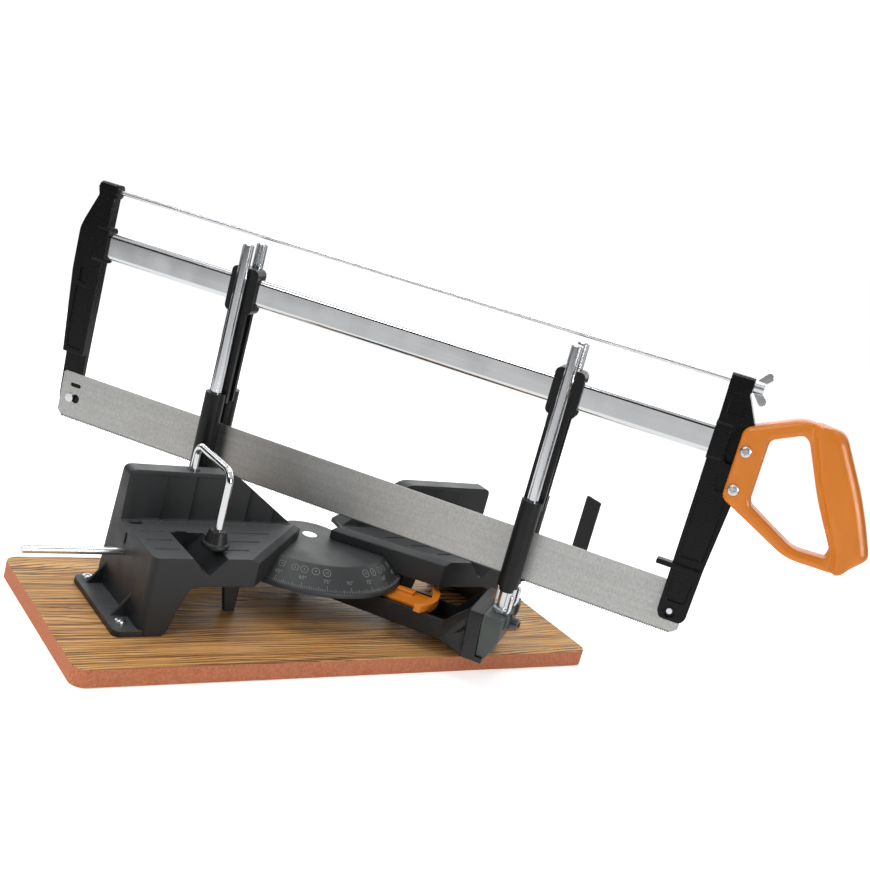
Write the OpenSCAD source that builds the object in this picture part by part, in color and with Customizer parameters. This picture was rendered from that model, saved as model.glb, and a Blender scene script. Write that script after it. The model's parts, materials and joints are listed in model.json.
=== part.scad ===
// Manual mitre saw. Two fixed tables with fences stand on a board, and a domed quadrant joins them.
// An arm swings under the quadrant and carries two pairs of guide rods. A framed saw slides in two
// guides that ride up and down on the rods.
// The origin is on the arm's pivot axis at the board's underside: +Z up, +X along the fence, +Y behind it.
// Pieces of the arm and the saw are drawn square to the fence line first: X runs along the blade
// towards the handle, Y across it. on_arm() then turns them to the mitre angle.

/* [Board] */
// Length of the board along the fence
board_l = 500; // [430:1:640]
// Depth of the board, front to back
board_w = 200; // [180:1:260]
// Thickness of the board
board_t = 15; // [10:0.5:25]
// Radius of the board's corners
board_r = 12; // [2:0.5:25]
// Distance from the pivot to the board's back edge
board_back = 65; // [50:1:90]

/* [Tables] */
// Height of the table tops above the board
table_h = 67.5; // [64:0.5:80]
// Distance from the pivot to a table's end wall
table_end = 185; // [175:1:220]
// Distance from the pivot to the tables' front face
table_front = 85.5; // [80:0.5:90]
// Thickness of the table tops
top_t = 4; // [3:0.5:5]
// Thickness of the moulded walls
wall_t = 3.5; // [2.5:0.5:5]
// Height of the apron under a table's front edge
apron_h = 24.5; // [22:0.5:28]
// Gap between the blade at its full mitre and a table's inner wall
blade_gap = 5.5; // [4:0.5:8]
// Width of the bevel along a table's inner edge
bevel_w = 5.5; // [3:0.5:8]
// Depth of that bevel
bevel_h = 4; // [2:0.5:6]
// Width of a front leg at the board
leg_w = 22; // [16:1:30]
// How far a leg widens from the board up to the apron
leg_spread = 14; // [8:1:22]
// Radius of a table's outer corners
corner_r = 6; // [2:0.5:10]
// Distance from the pivot to the small inner leg
inner_leg_x = 82; // [80:1:90]
// Width of the inner leg at the board
inner_leg_w = 10; // [6:1:14]

/* [Feet] */
// Width of a foot flange beyond the end wall
foot_w = 20; // [16:1:28]
// Thickness of a foot flange
foot_t = 5; // [3:0.5:8]
// Distance between the two screws of a foot
foot_screw_pitch = 82; // [60:1:90]
// Shank radius of the foot screws
foot_screw_r = 2.2; // [1.5:0.1:3]
// Head radius of the foot screws
foot_head_r = 4.4; // [3.8:0.1:6]

/* [Fences] */
// Height of the fences above the tables
fence_h = 43.5; // [35:0.5:55]
// Thickness of the fences at their top
fence_t = 16; // [14:0.5:20]
// How far a fence's back leans out from its top down to the board
back_lean = 11; // [6:0.5:14]
// Distance from the pivot to a fence's inner end at the table
fence_low = 26.5; // [24:0.5:34]
// Distance from the pivot to a fence's inner end at its top
fence_high = 90; // [70:1:105]
// Spacing of the slats on a fence
panel_pitch = 26.2; // [22:0.1:30]
// Width of a slat's flat, before its slope
panel_w = 20; // [12:0.5:21]
// Depth of the step between two slats
panel_d = 1.5; // [0.5:0.1:2]

/* [Round-stock groove] */
// Distance from the pivot to the groove
vee_x = 137; // [132:1:142]
// Width of the groove at the table top
vee_w = 30; // [20:1:32]
// Depth of the groove
vee_d = 15; // [8:0.5:15.5]
// Distance from the pivot to the groove's back end
vee_back = 33; // [33:0.5:45]

/* [Quadrant] */
// Radius of the quadrant's flat top
flat_r = 70.5; // [66:0.5:74]
// Radius of the quadrant's rim
rim_r = 91; // [90:0.5:95]
// How far the flat top lies below the table tops
dome_drop = 12.5; // [11:0.5:14]
// Height of the sloped scale band
band_h = 17; // [14:0.5:18]
// Height of the rim below the band
rim_h = 3.8; // [3:0.1:5]
// Wall thickness of the quadrant
shell_t = 4; // [3:0.5:4.5]
// Radius of the round part behind the pivot
back_r = 33; // [28:1:38]
// Radius of the pivot bolt
bolt_r = 4; // [3:0.5:5]
// Radius of the pivot bolt's head
bolt_head_r = 6.8; // [6:0.1:9]

/* [Arm] */
// Angle of the saw from a square cut, as shown
mitre_angle = 39.33; // [-45:0.01:45]
// Half the width of the arm's channel
arm_half = 23; // [20:0.5:24]
// Height of the arm's channel walls
arm_h = 17.5; // [16:0.5:20]
// Thickness of the channel walls
arm_wall = 3; // [2:0.5:4]
// Half the width of an end block at its top
block_half = 35; // [31:0.5:36]
// Half the width of an end block at its foot
block_foot = 18; // [14:0.5:22]
// Thickness of an end block along the arm
block_t = 12.5; // [9:0.5:14]
// Clearance between the end blocks and the board
board_gap = 3; // [2:0.5:6]
// Length over which the channel flares out to an end block
flare_l = 22; // [14:1:26]

/* [Posts] */
// Distance from the pivot to the front pair of rods
front_post = 189.5; // [186:0.5:200]
// Distance from the pivot to the rear pair of rods
rear_post = 114; // [108:0.5:125]
// Distance between the two rods of a pair
rod_gap = 28.2; // [27.6:0.1:32]
// Radius of the guide rods
rod_r = 5; // [4:0.1:5.2]
// Height of the rods above their brackets
rod_h = 241; // [225:1:280]
// Height of the brackets' tops above the board
bracket_h = 54; // [50:0.5:57]
// Depth of a bracket, from the arm's end block outwards
bracket_d = 17.5; // [15.5:0.5:22]
// Radius of the bracket bolts' heads
bracket_head_r = 5.5; // [4:0.1:7]

/* [Guides] */
// Outer radius of a sleeve
sleeve_r = 9.2; // [8.5:0.1:9.4]
// Length of a sleeve
sleeve_l = 79.5; // [70:0.5:85]
// How far the blade's teeth lie above the sleeves' lower ends
tooth_rise = 4; // [2:0.5:8]
// Length of the upper block along the tube
block_l = 26; // [20:1:34]
// Height of the upper block
block_h = 41; // [38:0.5:50]
// Half the width of the webs between sleeve and block
web_half = 5; // [4:0.1:5.2]

/* [Saw frame] */
// Height of the blade's teeth above the tables, as shown
blade_rise = 14.5; // [8:0.5:40]
// Distance from the pivot to the inner side of the toe bracket
toe_reach = 255; // [235:1:300]
// Distance from the pivot to the inner side of the heel bracket
heel_reach = 315; // [308:1:360]
// Height of the tube
tube_h = 25; // [20:0.5:27]
// Thickness of the tube
tube_t = 10; // [8:0.5:10.5]
// Wall of the tube
tube_wall = 1.2; // [0.8:0.1:2]
// Height of the tube's middle above the blade's teeth
tube_rise = 171; // [165:1:190]
// Height of the tension rod above the tube's middle
tension_rise = 50; // [46:0.5:60]
// Radius of the tension rod
tension_r = 2; // [1.5:0.1:2.5]
// Thickness of the end brackets
casting_t = 12.5; // [12:0.5:16]
// Widest reach of an end bracket from its inner side
casting_w = 32; // [29:0.5:40]

/* [Blade] */
// Width of the blade
blade_w = 45; // [40:0.5:50]
// Thickness of the blade
blade_t = 1; // [0.6:0.1:1.5]
// How far the blade runs on beyond the brackets' inner sides
blade_over = 21; // [16:0.5:23]
// Spacing of the teeth
tooth_pitch = 4; // [3:0.1:8]
// Depth of the teeth
tooth_d = 1.4; // [0.6:0.1:3]
// Radius of the blade pins
pin_r = 2.5; // [1.5:0.1:3]

/* [Handle] */
// Thickness of the handle
handle_t = 24; // [20:0.5:32]
// Reach of the handle from the heel bracket's inner side
handle_l = 145; // [138:1:165]
// Height of the handle
handle_h = 111.5; // [106:0.5:120]
// Width of the grip
grip_w = 31; // [26:0.5:36]
// Shank radius of the handle screws
handle_screw_r = 2.2; // [1.5:0.1:3]
// Head radius of the handle screws
handle_head_r = 4.8; // [3.5:0.1:6]

/* [Clamp] */
// Distance from the pivot to the clamp along the fence
clamp_x = 127; // [116:1:140]
// Radius of the clamp rod
clamp_r = 3.1; // [2.5:0.1:4]
// Reach of the clamp in front of its hole
clamp_reach = 67; // [58:1:72]
// Height of the clamp's top bar above the fence
clamp_rise = 23; // [16:0.5:40]
// Length of the clamp rod inside the fence
clamp_depth = 40; // [30:1:42]
// Radius of the rubber foot
foot_pad_r = 11.5; // [9:0.5:14]
// Height of the rubber foot
foot_pad_h = 15; // [12:0.5:20]
// Height of the rubber foot above the table, as shown
foot_pad_rise = 2.5; // [2.3:0.1:10]

/* [Length stop] */
// Distance of the stop rod in front of the pivot
stop_y = 25; // [24.5:0.1:25.5]
// Distance of the stop rod below the table tops
stop_drop = 21; // [19:0.5:22]
// Radius of the stop rod
stop_r = 3.2; // [2.5:0.1:3.5]
// How far the stop rod stands out at the left
stop_left = 82; // [75:1:120]
// How far the stop plate stands off at the right
stop_right = 121; // [112:1:160]
// Width of the stop plate
stop_w = 21; // [14:0.5:30]
// Thickness of the stop plate
stop_t = 2.5; // [1.5:0.5:5]
// Height of the stop plate's top above the tables
stop_rise = 46; // [30:1:70]

/* [Fits] */
// Clearance on the radius where a piece turns or slides on a rod
run_fit = 0.05; // [0.02:0.01:0.1]
// Clearance between flat faces that move past each other
slide_fit = 0.35; // [0.3:0.05:0.6]

/* [Hidden] */
$fn = 64;

// Heights
table_z = board_t + table_h;
apron_z = table_z - apron_h;
fence_z = table_z + fence_h;
dome_z = table_z - dome_drop;
rim_z = dome_z - band_h;
rim_low = rim_z - rim_h;
arm_top = rim_low - 3.2;
arm_low = arm_top - arm_h;
hub_top = rim_low - 0.5;
bracket_z = board_t + bracket_h;
block_low = board_t + board_gap;
tooth_z = table_z + blade_rise;
blade_top = tooth_z + blade_w;
sleeve_low = tooth_z - tooth_rise;
sleeve_top = sleeve_low + sleeve_l;
tube_z = tooth_z + tube_rise;
tension_z = tube_z + tension_rise;
stop_z = table_z - stop_drop;

// Places in plan
board_front = board_back - board_w;
fence_front = -fence_t / 2;
fence_back = fence_t / 2;
foot_back = fence_back + back_lean;
foot_screw_x = table_end + foot_w / 2;
foot_screw_y = foot_back - 6.7;
foot_screw_l = 11;
foot_head_h = 3;
rod_n = rod_gap / 2;
bracket_in = rod_r + 4.5;
arm_front = front_post - bracket_in - block_t - flare_l;
arm_rear = -(rear_post - bracket_in - block_t - flare_l);
sector_half = 60;
flare_step = 5;
hub_r = 18;
window_l = 26;
window_w = 16;
bed_back = rim_r - 29;

// Latch: its tooth bears on the quadrant's rim, and its bar is pulled towards the handle
latch_t = 3;
latch_top = rim_low - 1.9;
latch_low = latch_top - latch_t;
latch_half = 15.5;
latch_back = rim_r - 18;
tooth_l = 16.5;
tooth_w = 8;
tooth_side = 2;
pull_mid = rim_r + 40;
pull_r = 55;
pull_t = 6.3;
pull_half = arm_half + 4.5;
pull_low = arm_top + 0.4;
pull_top = latch_top + 6;

// Wing nuts on the rods: the wings stand clear of the sleeves
nut_ring_r = rod_r + 1.9;
nut_ring_h = 3.4;
nut_wing_in = sleeve_r + 0.6;
nut_wing_out = min(sleeve_r + 4, rod_n - 0.6);
nut_wing_h = 19;
nut_wing_t = 3;
nut_turn = -45;

// Sleeve: a thinner collar runs on below it
collar_r = rod_r + 1.4;
collar_l = 4.5;

// Saw frame, measured from a bracket's inner side
socket_d = 10.5;
tube_end_r = 4.5;
lug_l = 19;
lug_h = 12.5;
toe_in = 2;
toe_w = casting_w - 2;
heel_in = -0.5;
tongue_top = blade_top + 19;
casting_low = tooth_z + 12.6;
pin_z = tooth_z + 20.5;
pin_q = 10;
shoulder_z = tube_z + 19;
waist_z = tube_z - 21;
tab_z = blade_top + 12.5;
tab_l = 13;
tang_l = 10;
tang_half = 3;
tang_low = tube_z - 44;
tang_top = tube_z + 16;
handle_top = tube_z + 36.5;
handle_low = handle_top - handle_h;
screw_q = casting_w - 4;
screw_mid_z = tube_z - 17.5;
screw_gap = 33;

// Clamp and length stop
clamp_bar_z = fence_z + clamp_rise;
clamp_bend_r = 3 * clamp_r;
foot_pad_low = table_z + foot_pad_rise;
bush_r = clamp_r + 2.5;
bush_l = 14;
foot_socket = 6;
stop_low = stop_z - 8;

// Colours
charcoal = "#3a3d40";
black = "#202122";
zinc = "#c9ccd0";
orange = "#e0832f";
green_grey = "#4b504d";

// Distance along X of the line that runs beside the fully mitred blade, at depth y
function beside(y, d) = -y + d * sqrt(2);

// Back face of the fences and back walls at height z
function back_at(z) = fence_back + back_lean * (fence_z - z) / (fence_z - board_t);

// Points of a quadratic curve from a to c, drawn towards b
function curve(a, b, c, n) = [for (i = [0:n]) let (t = i / n)
  (1 - t) * (1 - t) * a + 2 * t * (1 - t) * b + t * t * c];

// Outline with each corner p[i] rounded over the distance r[i], or less where its edges are short
function soften(p, r) = [for (i = [0:len(p) - 1])
  let (a = p[(i + len(p) - 1) % len(p)], b = p[i], c = p[(i + 1) % len(p)])
  let (k = min(r[i], 0.45 * norm(a - b), 0.45 * norm(c - b)))
  each (k > 0.01 ? curve(b + k * (a - b) / norm(a - b), b, b + k * (c - b) / norm(c - b), 4) : [b])];

// Turns a piece of the arm or the saw from the square position to the mitre angle
module on_arm() {
  rotate([0, 0, mitre_angle - 90]) children();
}

// Extrudes a shape drawn in (Y, Z) along X
module along_x(x, l) {
  translate([x, 0, 0]) rotate([90, 0, 90]) linear_extrude(l) children();
}

// Extrudes a shape drawn in (X, Z) from y0 to y1
module along_y(y0, y1) {
  translate([0, y1, 0]) rotate([90, 0, 0]) linear_extrude(y1 - y0) children();
}

// Rectangle with round corners, centred
module round_rect(w, h, r) {
  square([w - 2 * r, h], center = true);
  square([w, h - 2 * r], center = true);
  for (x = [-1, 1], y = [-1, 1])
    translate([x * (w / 2 - r), y * (h / 2 - r)]) circle(r);
}

// Removes the square corner outside a vertical edge of radius r at [x, y]; sx and sy point outwards
module corner_cut(x, y, sx, sy, r, z0, z1) {
  translate([x - sx * r, y - sy * r, z0 - 1]) difference() {
    translate([sx > 0 ? 0 : -r - 1, sy > 0 ? 0 : -r - 1, 0]) cube([r + 1, r + 1, z1 - z0 + 2]);
    translate([0, 0, -1]) cylinder(r = r, h = z1 - z0 + 4);
  }
}

module base_board() {
  color("#b98149") difference() {
    translate([-board_l / 2, board_front, 0]) cube([board_l, board_w, board_t]);
    for (sx = [-1, 1]) {
      corner_cut(sx * board_l / 2, board_front, sx, -1, board_r, 0, board_t);
      corner_cut(sx * board_l / 2, board_back, sx, 1, board_r, 0, board_t);
    }
    for (side = [-1, 1], k = [0, 1])
      translate([side * foot_screw_x, foot_screw_y - k * foot_screw_pitch, board_t - foot_screw_l])
        cylinder(r = foot_screw_r, h = foot_screw_l + 1);
  }
}

// Outline of a front or back wall with its leg, in (X, Z), starting at x0
module wall_shape(x0) {
  leg_in = table_end - leg_w;
  leg_high = leg_in - leg_spread;
  polygon(concat(
    [[x0, apron_z]],
    curve([leg_high - 8, apron_z], [leg_high, apron_z], [leg_high + 2.5, apron_z - 7], 6),
    [[leg_in - 1, board_t + 3], [leg_in + 2, board_t], [table_end, board_t], [table_end, table_z],
     [x0 + bevel_w * sqrt(2), table_z], [x0, table_z - bevel_h]]));
}

module table_top() {
  edge = blade_gap + bevel_w + 1;
  translate([0, 0, table_z - top_t]) linear_extrude(top_t) polygon([
    [fence_low, fence_back], [table_end, fence_back], [table_end, -table_front],
    [beside(-table_front, edge), -table_front], [beside(fence_front, edge), fence_front]]);
}

// Bevelled inner edge of a table and the wall below it, along the line of the full mitre
module inner_wall() {
  g = blade_gap;
  intersection() {
    rotate([0, 0, -45]) along_x(0, 2 * table_front) polygon([
      [g, apron_z], [g + wall_t, apron_z], [g + wall_t, table_z - bevel_h - top_t],
      [g + bevel_w + wall_t, table_z - top_t], [g + bevel_w + wall_t, table_z],
      [g + bevel_w, table_z], [g, table_z - bevel_h]]);
    translate([0, -table_front, 0]) cube([table_end, table_front + fence_front, table_z + 1]);
  }
}

module end_wall() {
  along_x(table_end - wall_t, wall_t) polygon([
    [-table_front, board_t], [foot_back, board_t], [back_at(table_z), table_z], [-table_front, table_z]]);
}

module foot_flange() {
  translate([table_end - wall_t, -table_front, board_t])
    cube([foot_w + wall_t, table_front + foot_back, foot_t]);
  for (y = [foot_screw_y - foot_screw_pitch + 12.5, foot_screw_y - 9])
    along_y(y - 1.5, y + 1.5) polygon([
      [table_end - 1, board_t + foot_t - 1], [table_end + foot_w - 6, board_t + foot_t - 1],
      [table_end + foot_w - 6, board_t + foot_t], [table_end, board_t + foot_t + 19],
      [table_end - 1, board_t + foot_t + 19]]);
}

// Space in front of the leaning back face, drawn in by t, in (Y, Z)
module lean_shape(t) {
  polygon([[fence_front - 1, board_t], [back_at(board_t) - t, board_t], [back_at(fence_z) - t, fence_z],
           [fence_front - 1, fence_z]]);
}

// Leaning plate of the back wall, in (Y, Z)
module lean_wall() {
  polygon([[foot_back - wall_t, board_t], [foot_back, board_t], [fence_back, fence_z],
           [fence_back - wall_t, fence_z]]);
}

module fence() {
  intersection() {
    along_y(fence_front, foot_back) polygon(concat(
      [[fence_low, table_z - top_t], [table_end, table_z - top_t]],
      curve([table_end, fence_z - corner_r], [table_end, fence_z], [table_end - corner_r, fence_z], 4),
      curve([fence_high + 5, fence_z], [fence_high, fence_z], [fence_high - 5, fence_z - 3.4], 4),
      [[fence_low, table_z]]));
    along_x(0, table_end) lean_shape(0);
  }
}

module back_wall() {
  intersection() {
    along_y(0, foot_back) wall_shape(fence_low + 36);
    along_x(0, table_end) lean_wall();
  }
}

// Slats on the fence's face, each a flat that slopes out to the next step, and the hollow inside the fence
module fence_cuts() {
  slope = panel_pitch - panel_w;
  deep = fence_front + panel_d;
  for (i = [0:floor((table_end - fence_low - 8) / panel_pitch)])
    translate([table_end - 8 - i * panel_pitch, 0, table_z + 0.6]) linear_extrude(fence_h - 4.6) polygon([
      [-panel_pitch, fence_front - 1], [-panel_pitch, deep], [-slope, deep], [0, fence_front],
      [0, fence_front - 1]]);
  hollow = [[fence_high + 6, fence_z - 5], [table_end - wall_t - 2, fence_z - 5],
            [table_end - wall_t - 2, table_z - top_t - 1], [fence_low + 22, table_z - top_t - 1]];
  difference() {
    intersection() {
      along_y(fence_front + 3.2, foot_back) polygon(hollow);
      along_x(0, table_end) lean_shape(3.2);
    }
    translate([clamp_x - 11, fence_front, 0]) cube([22, fence_t + back_lean, fence_z]);
  }
}

// Small leg that carries the table's inner edge on the board
module inner_leg() {
  along_y(-43, -38) polygon([
    [inner_leg_x, board_t], [inner_leg_x + inner_leg_w, board_t],
    [inner_leg_x + inner_leg_w + 14, table_z - top_t + 0.5], [inner_leg_x, table_z - top_t + 0.5]]);
}

// Outline of the round-stock groove, grown by t
module vee_shape(t) {
  polygon([[vee_x - vee_w / 2 - t, table_z], [vee_x - 1.5 - t, table_z - vee_d - t],
           [vee_x + 1.5 + t, table_z - vee_d - t], [vee_x + vee_w / 2 + t, table_z]]);
}

module vee_cut() {
  along_y(-table_front - 1, -vee_back) {
    vee_shape(0);
    translate([vee_x - vee_w / 2, table_z - 0.01]) square([vee_w, 2]);
  }
  translate([vee_x - 0.5, -vee_back - 1, table_z - vee_d + 0.7]) cube([10, wall_t, vee_d + 2]);
}

// Grip grooves in a table top, on both sides of the round-stock groove
module grip_grooves() {
  groove_w = 2.4;
  for (y = [-31.5, -49.5, -67.5]) {
    inner = beside(y, blade_gap + bevel_w) + 13;
    outer = vee_x + vee_w / 2 + 5;
    translate([inner, y - groove_w / 2, table_z - 0.8])
      cube([vee_x - vee_w / 2 - 5 - inner, groove_w, 2]);
    translate([outer, y - groove_w / 2, table_z - 0.8])
      cube([table_end - 7 - outer, groove_w, 2]);
  }
}

// Boss that takes the quadrant screw, and the screw's place
quad_screw_r = flat_r - 10.5;
quad_screw_a = 57;
module at_quad_screw() {
  translate([quad_screw_r * sin(quad_screw_a), -quad_screw_r * cos(quad_screw_a), 0]) children();
}

// One table with its fence, drawn on the right of the pivot
module table_half(with_clamp) {
  difference() {
    union() {
      difference() {
        union() {
          table_top();
          end_wall();
          fence();
          along_y(-table_front, -table_front + wall_t) wall_shape(beside(-table_front, blade_gap));
          back_wall();
        }
        corner_cut(table_end, -table_front, 1, -1, corner_r, board_t, table_z);
      }
      inner_wall();
      foot_flange();
      inner_leg();
      along_y(-table_front, -vee_back + wall_t) vee_shape(wall_t);
      translate([table_end - 16, -stop_y, stop_z]) rotate([0, 90, 0]) cylinder(r = stop_r + 4, h = 15);
      at_quad_screw() translate([0, 0, dome_z]) cylinder(r = 4.5, h = table_z - top_t - dome_z + 0.5);
    }
    quadrant_space();
    translate([0, 0, rim_low]) cylinder(r = back_r, h = dome_z - rim_low);
    translate([table_end - 15, fence_front - 9, table_z - top_t - 1]) cube([10, 5, top_t + 2]);
    fence_cuts();
    vee_cut();
    grip_grooves();
    corner_cut(table_end + foot_w, -table_front, 1, -1, corner_r, board_t, board_t + foot_t);
    corner_cut(table_end + foot_w, foot_back, 1, 1, corner_r, board_t, board_t + foot_t);
    for (k = [0, 1])
      translate([foot_screw_x, foot_screw_y - k * foot_screw_pitch, board_t - 1])
        cylinder(r = foot_screw_r, h = foot_t + 2);
    translate([table_end - 20, -stop_y, stop_z]) rotate([0, 90, 0])
      cylinder(r = stop_r + run_fit, h = 30);
    translate([table_end - wall_t - 1, -stop_y - 2, stop_z + stop_r + 3])
      cube([wall_t + 2, 4, table_z - top_t - stop_z - stop_r - 4]);
    at_quad_screw() translate([0, 0, dome_z - 1]) cylinder(r = 1.8, h = 8);
    if (with_clamp) {
      translate([clamp_x, 0, fence_z - bush_l - 0.3]) cylinder(r = bush_r + run_fit, h = bush_l + 2);
      translate([clamp_x, 0, fence_z - clamp_depth - 3]) cylinder(r = clamp_r + 1, h = clamp_depth);
    }
  }
}

module left_table() {
  color(charcoal) mirror([1, 0, 0]) table_half(true);
}

module right_table() {
  color(charcoal) table_half(false);
}

// Pan-head screw with a cross recess, standing on z = 0 with its shank below
module pan_screw(shank_r, head_r, head_h, l) {
  difference() {
    union() {
      translate([0, 0, -l]) cylinder(r = shank_r, h = l + 0.5);
      rotate_extrude() polygon(concat([[0, 0], [head_r, 0]],
        curve([head_r, head_h * 0.3], [head_r, head_h], [head_r * 0.45, head_h], 5), [[0, head_h]]));
    }
    for (a = [0, 90]) rotate([0, 0, a])
      translate([-head_r * 0.5, -0.5, head_h - 1.2]) cube([head_r, 1, 2]);
  }
}

module table_screws() {
  color(zinc) for (side = [-1, 1], k = [0, 1])
    translate([side * foot_screw_x, foot_screw_y - k * foot_screw_pitch, board_t + foot_t])
      rotate([0, 0, 20 + 25 * k]) pan_screw(foot_screw_r, foot_head_r, foot_head_h, foot_t + foot_screw_l);
}

// Wedge in front of the pivot that the quadrant fills
module sector(z0, z1) {
  far = 3 * rim_r;
  translate([0, 0, z0]) linear_extrude(z1 - z0) polygon([
    [0, 0], [far * sin(sector_half), -far * cos(sector_half)], [0, -2 * far],
    [-far * sin(sector_half), -far * cos(sector_half)]]);
}

// Space under the quadrant's outer surface, which the tables are cut clear of
module quadrant_space() {
  intersection() {
    rotate_extrude() polygon([
      [0, rim_low], [rim_r, rim_low], [rim_r, rim_z], [flat_r, dome_z], [0, dome_z]]);
    sector(rim_low - 1, dome_z + 1);
  }
}

module angle_quadrant() {
  slope = shell_t * 0.55;
  color(charcoal) difference() {
    union() {
      difference() {
        quadrant_space();
        rotate_extrude() polygon([
          [0, rim_low - 1], [rim_r - shell_t, rim_low - 1], [rim_r - shell_t, rim_z - slope],
          [flat_r - slope, dome_z - shell_t], [0, dome_z - shell_t]]);
      }
      translate([0, 0, dome_z - shell_t]) cylinder(r = back_r, h = shell_t);
      translate([0, 0, hub_top + slide_fit])
        cylinder(r = bolt_r + 10, h = dome_z - hub_top - slide_fit - 1);
    }
    translate([0, 0, rim_low - 2]) cylinder(r = bolt_r, h = dome_z);
    translate([0, 0, dome_z - 2.6]) cylinder(r = bolt_head_r, h = 4);
    for (side = [0, 1]) mirror([side, 0, 0]) at_quad_screw()
      translate([0, 0, dome_z - shell_t - 1]) cylinder(r = 1.8, h = shell_t + 2);
  }
}

module quadrant_screws() {
  color(zinc) for (side = [0, 1]) mirror([side, 0, 0]) at_quad_screw()
    translate([0, 0, dome_z - shell_t]) mirror([0, 0, 1]) pan_screw(1.8, 3.4, 2.2, shell_t + 5);
}

module pivot_bolt() {
  color(zinc) {
    translate([0, 0, arm_low - 11]) cylinder(r = bolt_r, h = dome_z - arm_low + 9);
    translate([0, 0, dome_z - 2.6]) cylinder(r = bolt_head_r, h = 2.8);
  }
}

module pivot_washer() {
  color(zinc) translate([0, 0, arm_low - slide_fit - 1.6]) difference() {
    cylinder(r = 2.2 * bolt_r, h = 1.6);
    translate([0, 0, -1]) cylinder(r = bolt_r, h = 4);
  }
}

module pivot_nut() {
  color(zinc) translate([0, 0, arm_low - slide_fit - 8.1]) difference() {
    cylinder(r = 1.85 * bolt_r, h = 6.5, $fn = 6);
    translate([0, 0, -1]) cylinder(r = bolt_r, h = 9);
  }
}

// Outline of an end block in (Y, Z), drawn in by t
module block_shape(t) {
  polygon([[-block_half + t, bracket_z], [-block_half + t, bracket_z - 6], [-block_foot + t, block_low],
           [block_foot - t, block_low], [block_half - t, bracket_z - 6], [block_half - t, bracket_z]]);
}

// End of the arm: flare, end block and the lip under the bracket; X runs outwards from the rods
module arm_end() {
  b0 = -bracket_in - block_t;
  thin = 0.1;
  along_x(b0, block_t) block_shape(0);
  along_x(b0 + 1, bracket_in + block_t - 4) intersection() {
    block_shape(0);
    translate([-block_half, block_low - 1]) square([2 * block_half, 7]);
  }
  difference() {
    hull() {
      along_x(b0, thin) block_shape(flare_step);
      along_x(b0 - flare_l, thin) translate([-arm_half, arm_low]) square([2 * arm_half, arm_h]);
    }
    hull() {
      along_x(b0 - 1, thin) translate([-block_half + 9, arm_top - 2]) square([2 * block_half - 18, 60]);
      along_x(b0 - flare_l - 1, thin)
        translate([-arm_half + arm_wall, arm_low + arm_wall]) square([2 * (arm_half - arm_wall), 80]);
    }
  }
}

module swing_arm() {
  latch_floor = latch_low - 0.3;
  floor_t = 3;
  color(black) on_arm() difference() {
    union() {
      translate([arm_rear, -arm_half, arm_low]) cube([arm_front - arm_rear, 2 * arm_half, floor_t]);
      for (n = [-arm_half, arm_half - arm_wall])
        translate([arm_rear, n, arm_low]) cube([arm_front - arm_rear, arm_wall, arm_h]);
      translate([0, 0, arm_low]) cylinder(r = hub_r, h = hub_top - arm_low);
      translate([bed_back, -arm_half + 1, latch_floor - floor_t])
        cube([pull_mid - 8 - bed_back, 2 * arm_half - 2, floor_t]);
      translate([front_post, 0, 0]) arm_end();
      translate([-rear_post, 0, 0]) mirror([1, 0, 0]) arm_end();
    }
    translate([0, 0, arm_low - 1]) cylinder(r = bolt_r + run_fit, h = arm_h + 8);
    for (s = [hub_r + 8, rim_r - 7, arm_rear + 14])
      translate([s, -window_w / 2, arm_low - 1]) cube([window_l, window_w, floor_t + 2]);
    bracket_bolt_holes(2.9);
  }
}

module index_latch() {
  tooth_s = rim_r + 0.3;
  color(orange) on_arm() {
    translate([latch_back, -latch_half, latch_low])
      cube([pull_mid - pull_t + 1 - latch_back, 2 * latch_half, latch_t]);
    translate([tooth_s, tooth_side, latch_low]) cube([tooth_l, tooth_w, rim_low + 1.6 - latch_low]);
    intersection() {
      translate([0, 0, latch_low]) linear_extrude(pull_top - latch_low) difference() {
        translate([pull_mid - pull_r, 0]) circle(pull_r, $fn = 128);
        translate([pull_mid - pull_r - pull_t, 0]) circle(pull_r, $fn = 128);
      }
      union() {
        translate([rim_r + 12, -latch_half, latch_low]) cube([pull_mid - rim_r, 2 * latch_half, pull_top]);
        translate([rim_r + 12, -pull_half, pull_low]) cube([pull_mid - rim_r, 2 * pull_half, pull_top]);
      }
    }
  }
}

// Bolt holes through a bracket, its lip and its end block, at both posts
module bracket_bolt_holes(r) {
  l = block_t + bracket_in + bracket_d + 10;
  for (s = [front_post - bracket_in - block_t - 1, -rear_post + bracket_in + block_t + 1 - l])
    translate([s, 0, bracket_z - 12]) rotate([0, 90, 0]) cylinder(r = r, h = l);
}

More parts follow.
